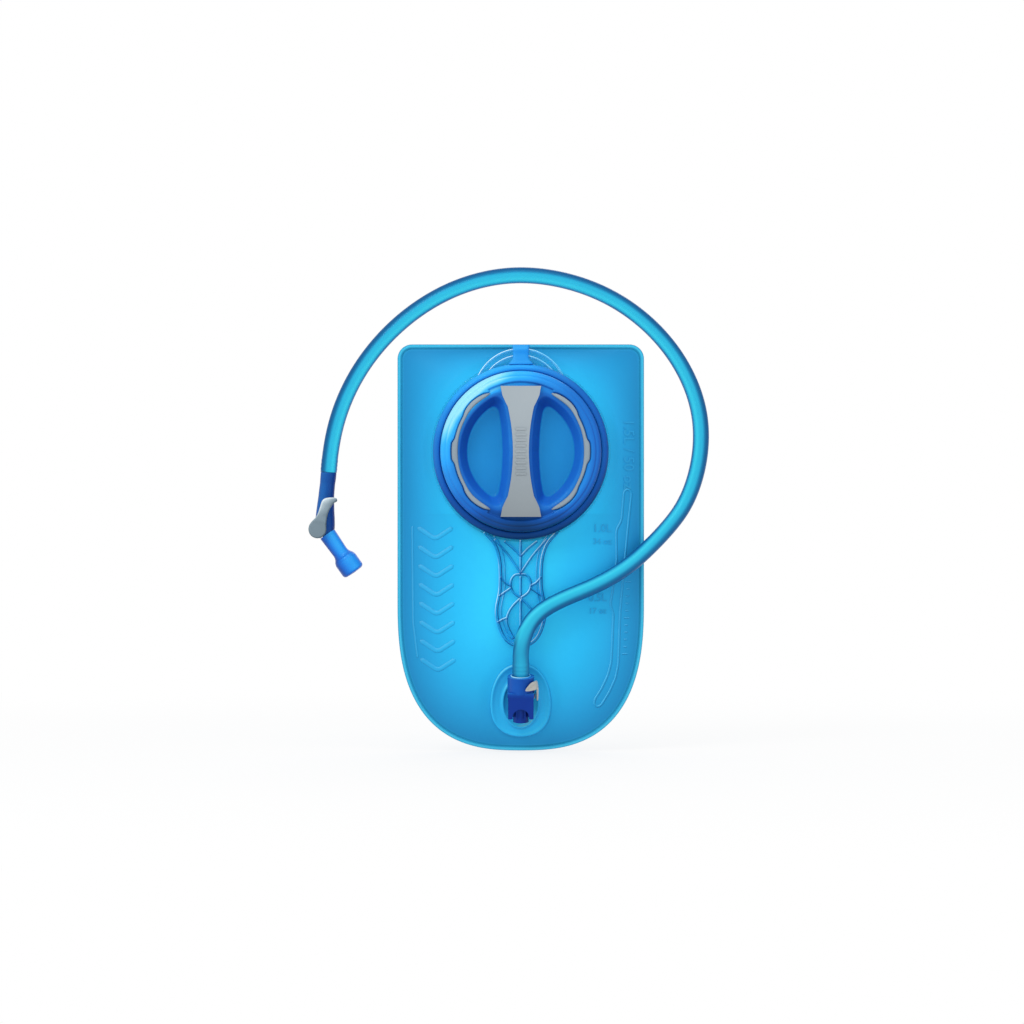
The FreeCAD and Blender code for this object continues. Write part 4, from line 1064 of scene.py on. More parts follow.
def build_back_film():
    count = 50
    rings, insets = film_rings(
        bag_outline(1.6), BACK_INSETS, lambda x, z, inset: back_level(x, z),
        lambda base: BACK_CENTRE, [i / count * 0.985 for i in range(1, count + 1)],
        back_level)
    verts, faces = loft([placed(ring) for ring in rings])
    inner_verts, inner_faces = loft([placed(ring + (0, 0, BACK_FILM)) for ring in rings])
    offset = len(verts)
    verts += inner_verts
    faces += [tuple(offset + i for i in reversed(face)) for face in inner_faces]
    size = len(rings[0])
    for j in range(size):
        k = (j + 1) % size
        faces.append((j, k, offset + k, offset + j))
    tip, last = len(verts), (len(rings) - 1) * size
    level = float(back_level(*BACK_CENTRE))
    verts += [place(*BACK_CENTRE, level), place(*BACK_CENTRE, level + BACK_FILM)]
    add_fans(faces, size, [(last, tip, False), (offset + last, tip + 1, True)])
    points = np.concatenate([ring[:, :2] for ring in rings] * 2 + [[BACK_CENTRE] * 2])
    back = new_mesh("film_back", verts, faces,
                    film_values(insets * 2 + [np.array([80.0, 80.0])], points))
    attach(back, "reservoir", "film_back", "film_back", "back_panel")


build_front_film()
build_back_film()

# ------------------------------------------------------------------ hose
# (x, z, depth) from the socket to the loop at the right
HOSE_RISE = [(1.4, -121.0, 43.0), (8.4, -107.4, 42.6), (22.2, -97.4, 40.4),
             (44.0, -88.0, 35.6), (65.8, -76.4, 28.6), (82.7, -62.4, 21.6),
             (96.0, -48.6, 16.6)]
# (degrees round the cap axis, radius) of the loop
HOSE_LOOP = [(-20, 110.9), (-4, 115.9), (12, 118.9), (28, 118.9), (44, 117.65),
             (60, 116.4), (76, 115.5), (92, 115.4), (108, 115.0), (124, 114.8),
             (140, 115.8), (156, 118.3), (172, 121.8)]
HOSE_R, HOSE_BORE = 5.27, 3.5


def loop_point(degrees, radius):
    angle = math.radians(degrees)
    return (radius * math.cos(angle), radius * math.sin(angle), TUBE_D)


def build_hose():
    points = [outlet_point(0, up, SOCKET_D) for up in (19.3, 26.0, 32.5)] + HOSE_RISE
    points += [loop_point(degrees, radius) for degrees, radius in HOSE_LOOP]
    points.append(tuple(VALVE_TOP))
    line = spline(np.array(points, float), np.array([0, TILT_COS, TILT_SIN]),
                  VALVE_TOP_DIR, 760)
    along = arc_lengths(line)
    radius = np.full(len(line), HOSE_R)
    # the hose swells over the barbs at both ends
    for barb in (2.2, 4.8, 7.4):
        radius += 0.22 * np.exp(-((along - barb) / 0.7) ** 2)
        radius += 0.18 * np.exp(-((along[-1] - along - barb) / 0.7) ** 2)
    radius += 0.12 * np.exp(-((along - 5) / 6.0) ** 2)
    hose = sweep("drink_hose", line, radius, 44, bore=HOSE_BORE)
    attach_flexible(hose, "tube", "tube",
                    "drink_tube_lower", "drink_tube_bend", "drink_tube_upper")
    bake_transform(hose)


build_hose()

# ------------------------------------------------------------------ marks on the film
# section of a raised line: (share of width, share of height, or mm when below the film)
RIDGE_SECTION = [(-0.5, -0.35), (-0.5, 0.0), (-0.36, 0.62), (-0.15, 0.95),
                 (0.15, 0.95), (0.36, 0.62), (0.5, 0.0), (0.5, -0.35)]


def ridge(name, key, points, width, height, closed=False, step=0.7):
    """Soft raised line that follows the film"""
    points = np.array(points, float)
    if closed:
        points = np.vstack([points, points[:1]])
    lengths = arc_lengths(points)
    total = lengths[-1]
    count = max(4, int(total / step))
    stations = np.linspace(0, total, count, endpoint=not closed)
    line = np.column_stack([np.interp(stations, lengths, points[:, i]) for i in (0, 1)])
    reach = 3                   # the line is smoothed over this many points either way
    if closed:
        line = sum(np.roll(line, i, 0) for i in range(-reach, reach + 1)) / (2 * reach + 1)
        tangent = np.roll(line, -1, 0) - np.roll(line, 1, 0)
    else:
        padded = np.pad(line, ((reach, reach), (0, 0)), "edge")
        smoothed = sum(padded[i:i + count] for i in range(2 * reach + 1)) / (2 * reach + 1)
        smoothed[0], smoothed[-1] = line[0], line[-1]
        line = smoothed
        tangent = np.gradient(line, axis=0)
    tangent = unit_rows(tangent)
    normal = np.column_stack([-tangent[:, 1], tangent[:, 0]])
    rings = []
    for i in range(count):
        fade = 1.0
        if not closed:
            near = min(1.0, min(stations[i], total - stations[i]) / (width * 0.5))
            fade = math.sqrt(max(0.02, near * (2 - near)))
        ring = []
        for across, up in RIDGE_SECTION:
            x, z = line[i] + normal[i] * across * width * fade
            rise = up * height * fade if up > 0 else up
            ring.append(place(x, z, float(film_depth(x, z)) + rise))
        rings.append(ring)
    verts, faces = loft(rings, "wrap" if closed else "caps")
    face = np.array(verts) / MM
    ob = new_mesh(name, verts, faces, {"inset": np.full(len(verts), FREE_INSET),
                                       "tone": tone(face[:, 0], face[:, 2])})
    attach(ob, "reservoir", "film", key)


def vertex_array(mesh):
    numbers = np.empty(len(mesh.vertices) * 3)
    mesh.vertices.foreach_get("co", numbers)
    return numbers.reshape(-1, 3)


def lettering(name, text, centre_x, centre_z, size, turn=0.0):
    """Raised figures that follow the film"""
    curve = bpy.data.curves.new(name + "_c", "FONT")
    curve.body = text
    curve.size = size
    curve.align_x = curve.align_y = "CENTER"
    curve.extrude = 0.2
    curve.resolution_u = 3
    curve.offset = 0.01 * size
    source = link_object(name + "_t", curve)
    bpy.context.view_layer.update()
    evaluated = source.evaluated_get(bpy.context.evaluated_depsgraph_get())
    mesh = bpy.data.meshes.new_from_object(evaluated)
    bpy.data.objects.remove(source)
    cosine, sine = math.cos(math.radians(turn)), math.sin(math.radians(turn))
    across, up, out = vertex_array(mesh).T
    x = centre_x + across * cosine - up * sine
    z = centre_z + across * sine + up * cosine
    depth = film_depth(x, z) + np.where(out > 0, 0.45, -0.2)
    mesh.vertices.foreach_set("co", (np.column_stack([x, -depth, z]) * MM).ravel())
    mesh.update()
    ob = link_object(name, mesh)
    tidy(mesh, weld=True)
    face = vertex_array(mesh) / MM
    add_values(mesh, {"inset": np.full(len(face), FREE_INSET),
                      "tone": tone(face[:, 0], face[:, 2])})
    attach(ob, "reservoir", "film", "film_text")


# long narrow loop of the gauge, (x, z): down its left side, round the foot, up the right
GAUGE = [
    (67.02, -27.17), (65.72, -43.42), (64.87, -46.02), (62.66, -49.27), (62.08, -52.52),
    (62.47, -70.07), (59.80, -89.57), (58.37, -98.67), (58.76, -101.27), (60.32, -104.52),
    (60.06, -109.07), (59.41, -125.32), (58.76, -137.02), (56.68, -144.82),
    (52.78, -153.27), (47.52, -161.72),
    (48.36, -165.30), (50.44, -166.01),
    (52.26, -164.71), (57.66, -155.87), (61.75, -146.77), (63.57, -137.02),
    (64.03, -122.07), (64.61, -103.87), (65.72, -92.17), (67.21, -76.57), (68.64, -60.97),
    (70.33, -44.07), (72.15, -27.17),
    (71.63, -24.83), (69.55, -23.79), (67.47, -24.83)]
# name, text, centre x, centre z, size, turn in degrees
VOLUME_MARKS = [
    ("film_mark_15", "1.5L / 50 oz", 70.07, -1.17, 9.6, -90.0),
    ("film_mark_10", "1.0L", 52.78, -49.60, 7.2, 0.0),
    ("film_mark_10b", "34 oz", 52.78, -58.05, 5.4, 0.0),
    ("film_mark_05", "0.5L", 49.86, -94.77, 7.0, 0.0),
    ("film_mark_05b", "17 oz", 49.86, -103.22, 5.2, 0.0)]
TICK_TOP, TICK_PITCH = (70.0, -84.4), (0.2275, 4.68)
CHEVRON_TOP, CHEVRON_PITCH = (-55.5, -50.0), (0.25, 12.2)
CHEVRON_HALF = 11.5

ridge("film_gauge", "film_text", GAUGE, 1.5, 0.5, closed=True)
for mark in VOLUME_MARKS:
    lettering(*mark)
for i in range(11):
    x, z = TICK_TOP[0] - i * TICK_PITCH[0], TICK_TOP[1] - i * TICK_PITCH[1]
    tick = 2.6 if i % 5 else 4.2
    ridge("film_tick_%02d" % i, "film_text", [(x - tick / 2, z), (x + tick / 2, z)],
          0.9, 0.4, step=0.3)
# embossed chevrons down the left side, with a plain rule beside them
for i in range(8):
    x, z = CHEVRON_TOP[0] + CHEVRON_PITCH[0] * i, CHEVRON_TOP[1] - i * CHEVRON_PITCH[1]
    ridge("film_chevron_%d" % i, "film_mark",
          [(x - CHEVRON_HALF, z + 1.0), (x, z - 6.5), (x + CHEVRON_HALF, z + 1.0)],
          3.0, 0.5, step=0.8)
ridge("film_rule", "film_mark", [(-70.5, -48.0), (-69.9, -110.0), (-67.0, -134.0)], 1.3, 0.36)

# ------------------------------------------------------------------ clear handle
# right half of the handle edge from top to bottom centre, (x, z)
HANDLE_HALF = [(24.4, -52.5), (18.7, -59.0), (14.9, -69.6), (14.2, -79.2), (14.9, -91.6),
               (16.3, -98.3), (16.6, -105.9), (14.9, -113.5), (11.1, -121.2),
               (6.2, -125.2), (0.0, -126.4)]
# ribs on the centre line, then ribs that are mirrored to both sides, (x, z)
CENTRE_RIBS = [[(0, -57.0), (0, -79.2)], [(0, -80.6), (0, -93.2)], [(0, -95.2), (0, -122.5)]]
SIDE_RIBS = [
    [(0, -78.5), (8.6, -66.0), (17.0, -56.5)],
    [(0, -67.5), (6.0, -61.5), (10.6, -57.9)],
    [(0, -79.2), (3.4, -79.6), (6.4, -87.4), (3.4, -92.2), (0, -94.4)],
    [(6.2, -86.8), (10.0, -84.6), (13.2, -81.0)],
    [(6.2, -88.0), (10.0, -90.6), (14.0, -93.4)],
    [(0, -94.5), (5.4, -100.0), (8.9, -107.8), (8.0, -114.0), (4.4, -120.8)],
    [(8.9, -107.4), (12.0, -108.6), (15.0, -110.4)]]
# flat clear ring under the cap, (radius, depth)
HANDLE_RING = [(46.6, 30.15), (57.6, 30.15), (58.0, 30.5), (58.0, 31.2), (57.6, 31.5),
               (46.6, 31.5)]
ARCH_R, ARCH_Z = 27.9, 36.3         # arch above the cap: mean radius and centre height


def handle_line(inset, count):
    points = HANDLE_HALF + [(-x, z) for x, z in reversed(HANDLE_HALF[:-1])]
    curve = flat_spline(points, count)
    tangent = np.gradient(curve, axis=0)
    tangent /= np.linalg.norm(tangent, axis=1)[:, None]
    return curve + np.column_stack([tangent[:, 1], -tangent[:, 0]]) * inset


def attach_clear(ob, key):
    attach(ob, "reservoir", "clear_frame", key, "handle_frame")


def build_handle_plate():
    """Thin clear web of the handle"""
    heights = np.linspace(-50.0, -125.9, 90)
    line = handle_line(0.0, 400)
    right = line[line[:, 0] >= 0]
    right = right[np.argsort(right[:, 1])]
    halves = np.interp(heights, right[:, 1], right[:, 0], right=25.5)
    shares = np.linspace(-1, 1, 25)
    rings = []
    for z, half in zip(heights, halves):
        top = [place(half * share, z, 31.3 - 0.25 * (1 - abs(share))) for share in shares]
        low = [place(half * share, z, 30.35) for share in shares]
        rings.append(top + low[::-1])
    attach_clear(new_mesh("handle_plate", *loft(rings, "caps")), "clear_web")


def build_handle():
    build_handle_plate()
    edge = at_depth(handle_line(1.1, 170), 31.9)
    attach_clear(flat_bar("handle_bead", edge, 2.2, 2.2, 16, 2.1), "line")
    inner = at_depth(handle_line(4.0, 170)[6:-6], 31.5)
    attach_clear(flat_bar("handle_bead_inner", inner, 1.0, 1.0, 12, 2.0), "line_fine")
    ribs = CENTRE_RIBS + [[(side * x, z) for x, z in rib] for side in (-1, 1)
                          for rib in SIDE_RIBS]
    for i, rib in enumerate(ribs):
        line = flat_spline(rib, 26) if len(rib) > 2 else np.linspace(*rib, 16)
        bar = flat_bar("handle_rib_%02d" % i, at_depth(line, 31.75), 1.5, 1.9, 14, 2.1)
        attach_clear(bar, "line")
    attach_clear(turned_ring("handle_ring", HANDLE_RING, 192), "clear_frame")
    angles = np.radians(np.linspace(24, 156, 70))

    def arch(radius, depth):
        return at_depth(round_points(radius, angles) + (0, ARCH_Z), depth)

    attach_clear(flat_bar("hang_arch", arch(ARCH_R, 31.2), 5.4, 1.3, 20, 3.5), "arch_clear")
    for suffix, radius in (("a", ARCH_R + 2.1), ("b", ARCH_R - 2.1)):
        bead = flat_bar("hang_arch_bead_" + suffix, arch(radius, 31.6), 1.5, 1.7, 12, 2.2)
        attach_clear(bead, "line_arch")


build_handle()

# ------------------------------------------------------------------ cap
# side grips: degrees from the grip's middle, outer radius, inner radius
GRIP_ANGLE = [0, 7.0, 10.5, 14, 20, 27, 31.5, 36, 40, 45, 52, 57, 60, 62]
GRIP_OUT = [44.5, 44.5, 43.2, 43.05, 43.1, 43.15, 43.3, 44.3, 44.7, 44.85, 44.4, 43.8, 43.1,
            42.6]
GRIP_IN = [40.5, 40.6, 40.75, 40.85, 41.0, 41.1, 41.3, 41.6, 41.75, 41.75, 41.4, 41.35,
           41.5, 41.9]
# half width of the bar across the cap at each distance above or below the middle
BAR_Z = [0, 10, 18, 25, 31, 36, 40, 44, 60]
BAR_HALF = [6.3, 6.7, 7.4, 8.6, 9.9, 11.8, 13.6, 14.4, 14.4]
POCKET_R = 40.1
CROWN_R = 48.3                      # where the crown turns down to the outer wall
# painted light and shade by degrees round the cap: painted highlight towards the upper left,
# painted shade at the bottom
CROWN_PAINTED_LIGHT = {0: .54, 45: .52, 70: .64, 90: .76, 112: .92, 135: 1.06, 157: .93, 180: .78,
              202: .64, 225: .50, 247: .28, 270: .13, 292: .32, 315: .54, 337: .56}
RING_PAINTED_LIGHT = {0: .50, 45: .50, 68: .60, 90: .72, 112: .72, 135: .66, 157: .58, 180: .50,
             225: .36, 250: .28, 270: .24, 290: .30, 315: .40}
# outer wall, lower edge and inside of the cap, (radius, depth)
CAP_UNDER = [(51.9, 42.0), (51.9, 36.7), (51.0, 36.45), (51.0, 34.95), (51.9, 34.8),
             (51.9, 33.7), (51.5, 33.2), (48.7, 33.2), (48.3, 33.6), (48.3, 43.2),
             (47.9, 43.6), (43.3, 43.6), (42.9, 43.2), (42.9, 40.5), (36.4, 32.4),
             (36.0, 32.0), (20.0, 32.0), (0.6, 32.0)]
# thread on the inside wall, (radius, half width)
THREAD_ROOT, THREAD_CREST = (48.35, 1.0), (46.5, 0.5)
THREAD_START_D, THREAD_LEAD = 36.2, 12.0


def around(x, z, table):
    """Value from a table of degrees round the cap, smoothly repeated"""
    angle = np.degrees(np.arctan2(z, x)) % 360.0
    degrees, values = list(table), list(table.values())
    degrees = np.array([degrees[-1] - 360.0] + degrees + [degrees[0] + 360.0])
    values = np.array([values[-1]] + values + [values[0]])
    i = np.clip(np.searchsorted(degrees, angle, side="right") - 1, 0, len(degrees) - 2)
    share = (angle - degrees[i]) / (degrees[i + 1] - degrees[i])
    return lerp(values[i], values[i + 1], share * share * (3 - 2 * share))


def cap_height(x, z):
    """Depth of the cap's front face"""
    radius = np.hypot(x, z)
    # signed distance to the pocket, negative inside, its two limits joined softly
    to_wall = radius - POCKET_R
    to_bar = np.interp(np.abs(z), BAR_Z, BAR_HALF) - np.abs(x)
    blend_w = 6.5
    overlap = np.maximum(blend_w - np.abs(to_wall - to_bar), 0) / blend_w
    distance = np.maximum(to_wall, to_bar) + overlap * overlap * blend_w / 4
    # raised crown that hugs the side grips
    side = np.degrees(np.arctan2(np.abs(z), np.abs(x)))
    hug = np.where(side < 62.0, np.interp(side, GRIP_ANGLE, GRIP_OUT), 44.3)
    hug = lerp(hug, 44.1, smoothstep(60.0, 66.0, side))
    rise = smoothstep(hug - 0.05, hug + 1.0, radius)
    crest = 48.2 + 0.55 * (1 - ((radius - 46.4) / 2.0) ** 2).clip(0, 1)
    level = CAP_FACE + rise * (crest - CAP_FACE)
    shoulder_w = 3.6
    fall = np.clip(radius - CROWN_R, 0, shoulder_w) / shoulder_w
    shoulder = 43.6 + 3.9 * np.sqrt(np.clip(1 - fall ** 2, 0, 1))
    level = lerp(level, shoulder, smoothstep(47.95, 48.35, radius))
    sunk = smoothstep(0, 1, -distance / 6.4)
    groove = 0.9 * np.exp(-((distance + 0.2) / 0.9) ** 2) * (radius < 42)
    return level - (level - POCKET_FLOOR) * sunk - groove * 0.5 * (np.abs(distance) < 3)


def build_cap_shell():
    segments = 540
    turn = full_turn(segments)
    rings = []
    for radius in np.concatenate([np.linspace(0.6, 30, 50), np.linspace(30.5, 51.9, 62)]):
        flat = round_points(radius, turn)
        rings.append(placed(at_depth(flat, cap_height(*flat.T))))
    rings += [placed(at_depth(round_points(radius, turn), depth))
              for radius, depth in CAP_UNDER]
    verts, faces = loft(rings)
    tip = len(verts)
    verts += [place(0, 0, float(cap_height(np.array(0.0), np.array(0.0)))),
              place(0, 0, CAP_UNDER[-1][1])]
    add_fans(faces, segments, [(0, tip, True), (tip - segments, tip + 1, False)])
    x, z = np.array(verts)[:, (0, 2)].T / MM
    # painted light and shade round the crown, fainter over the pocket floors
    crown = around(x, z, CROWN_PAINTED_LIGHT)
    painted_light = lerp(0.42 + 0.12 * crown, crown, smoothstep(38.5, 43.5, np.hypot(x, z)))
    attach(new_mesh("cap_shell", verts, faces, {"painted_light": painted_light}),
           "cap", "cap", "cap", "cap_body")


def build_thread(name, start, sweep_angle=100.0):
    rings = []
    (root, foot), (crest, top) = THREAD_ROOT, THREAD_CREST
    for share in np.linspace(0, 1, 70):
        angle = math.radians(start + sweep_angle * share)
        depth = THREAD_START_D + THREAD_LEAD * sweep_angle * share / 360.0
        fade = min(1.0, min(share, 1 - share) * 12)
        tip = root + (crest - root) * (0.15 + 0.85 * fade)
        rings.append([place(radius * math.cos(angle), radius * math.sin(angle), depth + up)
                      for radius, up in ((root, -foot), (tip, -top), (tip, top), (root, foot))])
    attach(new_mesh(name, *loft(rings, "caps"), shade_smooth=False),
           "cap", "cap", "cap", "cap_body")


build_cap_shell()
for i in range(3):
    build_thread("cap_thread_%d" % i, 120.0 * i)


def build_tether_strap():
    """Strap between the lifting ring and the fixed frame, built at rest"""
    z = np.linspace(56.4, 68.9, 40)
    depth = 34.9 - 1.2 * smoothstep(57, 64, z) - 2.2 * smoothstep(65.5, 69.0, z)
    width = (10.2 + 5.5 * (1 - smoothstep(56.4, 60.5, z))
             + 1.2 * smoothstep(66.0, 68.9, z))
    height = 2.2 + 1.2 * (1 - smoothstep(56.4, 59.0, z))
    strap = flat_bar("tether_strap_web", np.column_stack([np.zeros(40), z, depth]),
                     width, height, 24, 3.4)
    attach_flexible(strap, "tether", "strap", "tether_strap")
    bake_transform(strap)


build_tether_strap()

# section of a side grip: (share of width, share of height)
GRIP_SECTION = [(-0.5, 0.0), (-0.5, 0.62), (-0.44, 0.84), (-0.30, 0.96), (0.0, 1.0),
                (0.30, 0.96), (0.44, 0.84), (0.5, 0.62), (0.5, 0.0)]
GRIP_BASE = 46.1


def build_side_grip(name, turn, node):
    """Soft scalloped band on one side of the crown"""
    degrees = np.linspace(-62, 62, 190)
    off = np.abs(degrees)
    kernel = np.hanning(7)
    kernel /= kernel.sum()
    outer, inner = (np.convolve(np.pad(np.interp(off, GRIP_ANGLE, table), 3, "edge"),
                                kernel, "valid") for table in (GRIP_OUT, GRIP_IN))
    crest = (48.9 + 0.35 * np.exp(-(off / 6.0) ** 2)
             + 0.3 * np.exp(-((off - 50) / 8.0) ** 2))
    tops = lerp(CAP_FACE, crest, np.sqrt(np.clip((62.2 - off) / 4.0, 0.02, 1)))
    rings = []
    for i, angle in enumerate(np.radians(degrees + turn)):
        ring = []
        for across, up in GRIP_SECTION:
            radius = (outer[i] + inner[i]) / 2 + across * (outer[i] - inner[i])
            ring.append(place(radius * math.cos(angle), radius * math.sin(angle),
                              GRIP_BASE + (tops[i] - GRIP_BASE) * up))
        rings.append(ring)
    attach(new_mesh(name, *loft(rings, "caps")), "cap", "grip", "side", node)


build_side_grip("side_grip_right", 0.0, "cap_side_grip_right")
build_side_grip("side_grip_left", 180.0, "cap_side_grip_left")

# ------------------------------------------------------------------ release button
# outlines in the socket's own (x, along)
WEDGE = [(2.9, 12.0), (4.0, 13.9), (5.9, 16.0), (7.8, 16.9), (9.6, 16.8), (10.7, 15.7),
         (11.1, 13.6), (11.0, 11.7), (9.6, 11.35), (6.9, 11.4), (4.2, 11.45)]
STEM = [(10.2, 12.2), (11.25, 12.2), (11.35, 8.0), (11.1, 4.2), (10.6, 3.7), (10.15, 4.2),
        (10.12, 8.0)]


def wedge_low(x, y):
    return math.sqrt(max(1.2, 8.95 ** 2 - (x - 1.25) ** 2)) if x < 10.15 else 1.1


def wedge_high(x, y):
    return math.sqrt(max(4.0, 11.35 ** 2 - x * x)) * 0.96


wedge = slab("button_wedge", closed_curve(WEDGE, 6), wedge_low, wedge_high, socket_place,
             edge=0.5, steps=4)
attach(wedge, "button", "button", "button", "release_button")
stem = slab("button_stem", closed_curve(STEM, 4), lambda x, y: -2.4, lambda x, y: 3.9,
            socket_place, edge=0.3, steps=3)
attach(stem, "button", "button", "button", "release_button")

# ------------------------------------------------------------------ valve and lever
NIPPLE_START = np.array([-126.6, -52.5, TUBE_D])
NIPPLE_DIR = np.array([0.578, -0.816, 0.0])
HUB_X, HUB_Z = -132.0, -50.2
# centre line between the valve's two ends, (x, z)
VALVE_LINE = [(-125.75, -19.0), (-126.6, -27.0), (-127.15, -35.0), (-127.45, -42.0),
              (-127.35, -48.0)]
# radius of the shell at each share of its length
VALVE_SHARE = [0, 0.012, 0.03, 0.10, 0.18, 0.40, 0.58, 0.74, 0.86, 0.97, 0.99, 1.0]
VALVE_R = [5.0, 5.1, 5.15, 5.12, 4.95, 5.15, 5.75, 6.25, 6.25, 5.85, 5.75, 5.65]
# (radius, distance along the axis)
CHAMBER = [(4.9, 7.5), (5.45, 7.8), (5.6, 8.4), (5.6, 19.7), (5.45, 20.2), (4.9, 20.45)]
BARB = [(2.6, -9.5), (2.95, -9.1), (2.95, -7.0), (2.75, -6.8), (2.95, -5.6), (2.95, 1.0)]
NIPPLE = [(3.3, -1.0), (3.4, -0.6), (3.4, 13.4), (3.1, 13.9)]
# lever outline about the hub, (x, z)
LEVER = [(-5.2, 2.9), (-3.5, 5.3), (-1.2, 7.7), (0.3, 10.4), (1.6, 14.0), (2.6, 17.2),
         (3.7, 19.2), (5.4, 20.3), (8.2, 20.7), (11.0, 20.7), (12.5, 19.9), (12.7, 18.3),
         (11.7, 17.6), (10.6, 17.0), (9.2, 15.2), (7.9, 12.9), (6.8, 10.2), (6.1, 7.2),
         (5.8, 4.6), (5.7, 1.7), (5.75, -0.8), (4.9, -3.1), (2.9, -5.0), (0.0, -5.8),
         (-2.9, -5.0), (-5.0, -2.9), (-5.8, 0.0)]


def build_valve():
    points = np.array([VALVE_TOP + VALVE_TOP_DIR * 0.03,
                       *at_depth(np.array(VALVE_LINE), TUBE_D),
                       NIPPLE_START + NIPPLE_DIR * 0.8])
    line = spline(points, VALVE_TOP_DIR, NIPPLE_DIR, 70)
    radius = np.interp(np.linspace(0, 1, 70), VALVE_SHARE, VALVE_R)

    def attach_valve(ob):
        attach(ob, "tube_end", slot_of["valve_body"], "valve", "valve_body")

    attach_valve(sweep("valve_shell", line, radius, 44))
    attach_valve(lathe("valve_chamber", CHAMBER, (HUB_X, HUB_Z, 0.0), (0, 0, 1)))
    attach_valve(lathe("valve_barb", BARB, VALVE_TOP, VALVE_TOP_DIR, 32))
    attach_valve(lathe("valve_nipple", NIPPLE, NIPPLE_START, NIPPLE_DIR, 32))


def lever_top(x, y):
    """Flat over the hub; the arm falls away across its width and lifts at its tip"""
    middle = float(np.interp(y, [4, 10, 14, 18, 20.7], [0.5, 3.0, 4.4, 7.4, 8.6]))
    arm = 24.6 - 0.30 * (x - middle) + 0.9 * float(smoothstep(15.0, 20.0, y))
    return lerp(24.9, arm, float(smoothstep(4.0, 9.0, y)))


def build_lever():
    lever = slab("lever_shell", closed_curve(LEVER, 6), lambda x, y: 21.3, lever_top,
                 lambda x, y, depth: place(HUB_X + x, HUB_Z + y, depth), edge=1.1, steps=6)
    for polygon in lever.data.polygons:
        polygon.use_smooth = True
    attach(lever, "shutoff", slot_of["shutoff_lever"], "lever", "shutoff_lever")


build_valve()
build_lever()

# ------------------------------------------------------------------ outlet
COIL_R, COIL_ALONG = 1.5, 5.6       # release spring: coil radius and place on the socket
LIP_R, LIP_WIRE, LIP_ALONG = 6.1, 0.62, 19.05
# right half of the outlet plate's egg outline, (x, z) from the top
EGG = [(0, 24.9), (10.5, 21.6), (16.4, 13.0), (19.1, 3.0), (19.4, -6.0), (17.6, -14.8),
       (11.6, -21.8), (0, -24.6)]
EGG_CENTRE = -1.5
PLATE_OVAL = (12.4, 17.2)           # half axes of the raised inner oval
# rings of the plate: how the radius is found, its amount, and the height
PLATE_RINGS = [
    ("egg", 0.0, 0.02), ("egg", 0.0, 0.7), ("egg", 0.35, 1.25), ("egg", 0.9, 1.5),
    ("egg", 1.5, 1.5), ("egg", 2.1, 1.2), ("between", 0.35, 1.15), ("between", 0.75, 1.15),
    ("oval", -0.6, 1.2), ("oval", 0.0, 1.7), ("oval", 0.5, 2.25), ("oval", 1.1, 2.3),
    ("oval", 1.6, 1.9), ("oval", 2.2, 1.2), ("centre", 0.6, 1.05), ("centre", 0.25, 1.05),
    ("centre", 0.08, 1.05)]


def build_release_spring():
    """Coil of the release spring, built at its rest length"""
    coil = np.array([outlet_point(7.0 + 2.3 * share,
                                  COIL_ALONG + COIL_R * math.cos(6 * math.pi * share),
                                  SOCKET_D + COIL_R * math.sin(6 * math.pi * share))
                     for share in np.linspace(0, 1, 110)])
    spring = sweep("release_coil", coil, 0.25, 10)
    attach(spring, "reservoir", slot_of["release_spring"], "spring", "release_spring")
    socket_place(6.75, COIL_ALONG, 0.0)
    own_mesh(spring)


def build_socket_lip():
    """Rolled lip of the socket collar, round the tube"""
    section = round_points(LIP_WIRE, full_turn(14)) + (LIP_R, LIP_ALONG)
    rings = [[socket_place(radius * math.cos(a), along, radius * math.sin(a))
              for radius, along in section] for a in full_turn(72)]
    attach(new_mesh("outlet_lip", *loft(rings, "wrap")),
           "reservoir", slot_of["outlet_socket"], "lip")


def egg_radius(angles):
    """Radius of the egg outline about its centre, smoothed with a short kernel"""
    points = np.array(EGG + [(-x, z) for x, z in reversed(EGG[1:-1])])
    points = (points - (0, EGG_CENTRE))[::-1]
    known = np.unwrap(np.arctan2(points[:, 1], points[:, 0]))
    known = np.concatenate([known - 2 * math.pi, known, known + 2 * math.pi])
    radius = np.interp(angles, known, np.tile(np.hypot(points[:, 0], points[:, 1]), 3))
    kernel = np.hanning(25)
    kernel /= kernel.sum()
    return np.convolve(np.pad(radius, 12, "wrap"), kernel, "valid")


def build_outlet_plate():
    segments = 180
    angles = np.linspace(-math.pi, math.pi, segments, endpoint=False)
    egg = egg_radius(angles)
    oval = 1 / np.hypot(np.cos(angles) / PLATE_OVAL[0], np.sin(angles) / PLATE_OVAL[1])
    radius_of = {
        "egg": lambda amount: egg - amount,
        "between": lambda amount: lerp(egg - 2.1, oval + 0.6, amount),
        "oval": lambda amount: oval - amount,
        "centre": lambda amount: (oval - 2.2) * amount,
    }
    rings = []
    for kind, amount, height in PLATE_RINGS:
        flat = round_points(radius_of[kind](amount), angles) + (0, EGG_CENTRE)
        rings.append([place(*outlet_point(x, up, height)) for x, up in flat])
    verts, faces = loft(rings)
    tip = len(verts)
    verts += [place(*outlet_point(0, EGG_CENTRE, height)) for height in (1.05, 0.02)]
    add_fans(faces, segments, [(tip - segments, tip, False), (0, tip + 1, True)])
    attach(new_mesh("outlet_plate", verts, faces),
           "reservoir", "outlet_clear", "outlet_film", "outlet_flange")


build_release_spring()
build_socket_lip()
build_outlet_plate()

grip_pad = bpy.data.objects.get("cap_grip_pad")
if grip_pad is not None:
    paint(grip_pad, "pad")

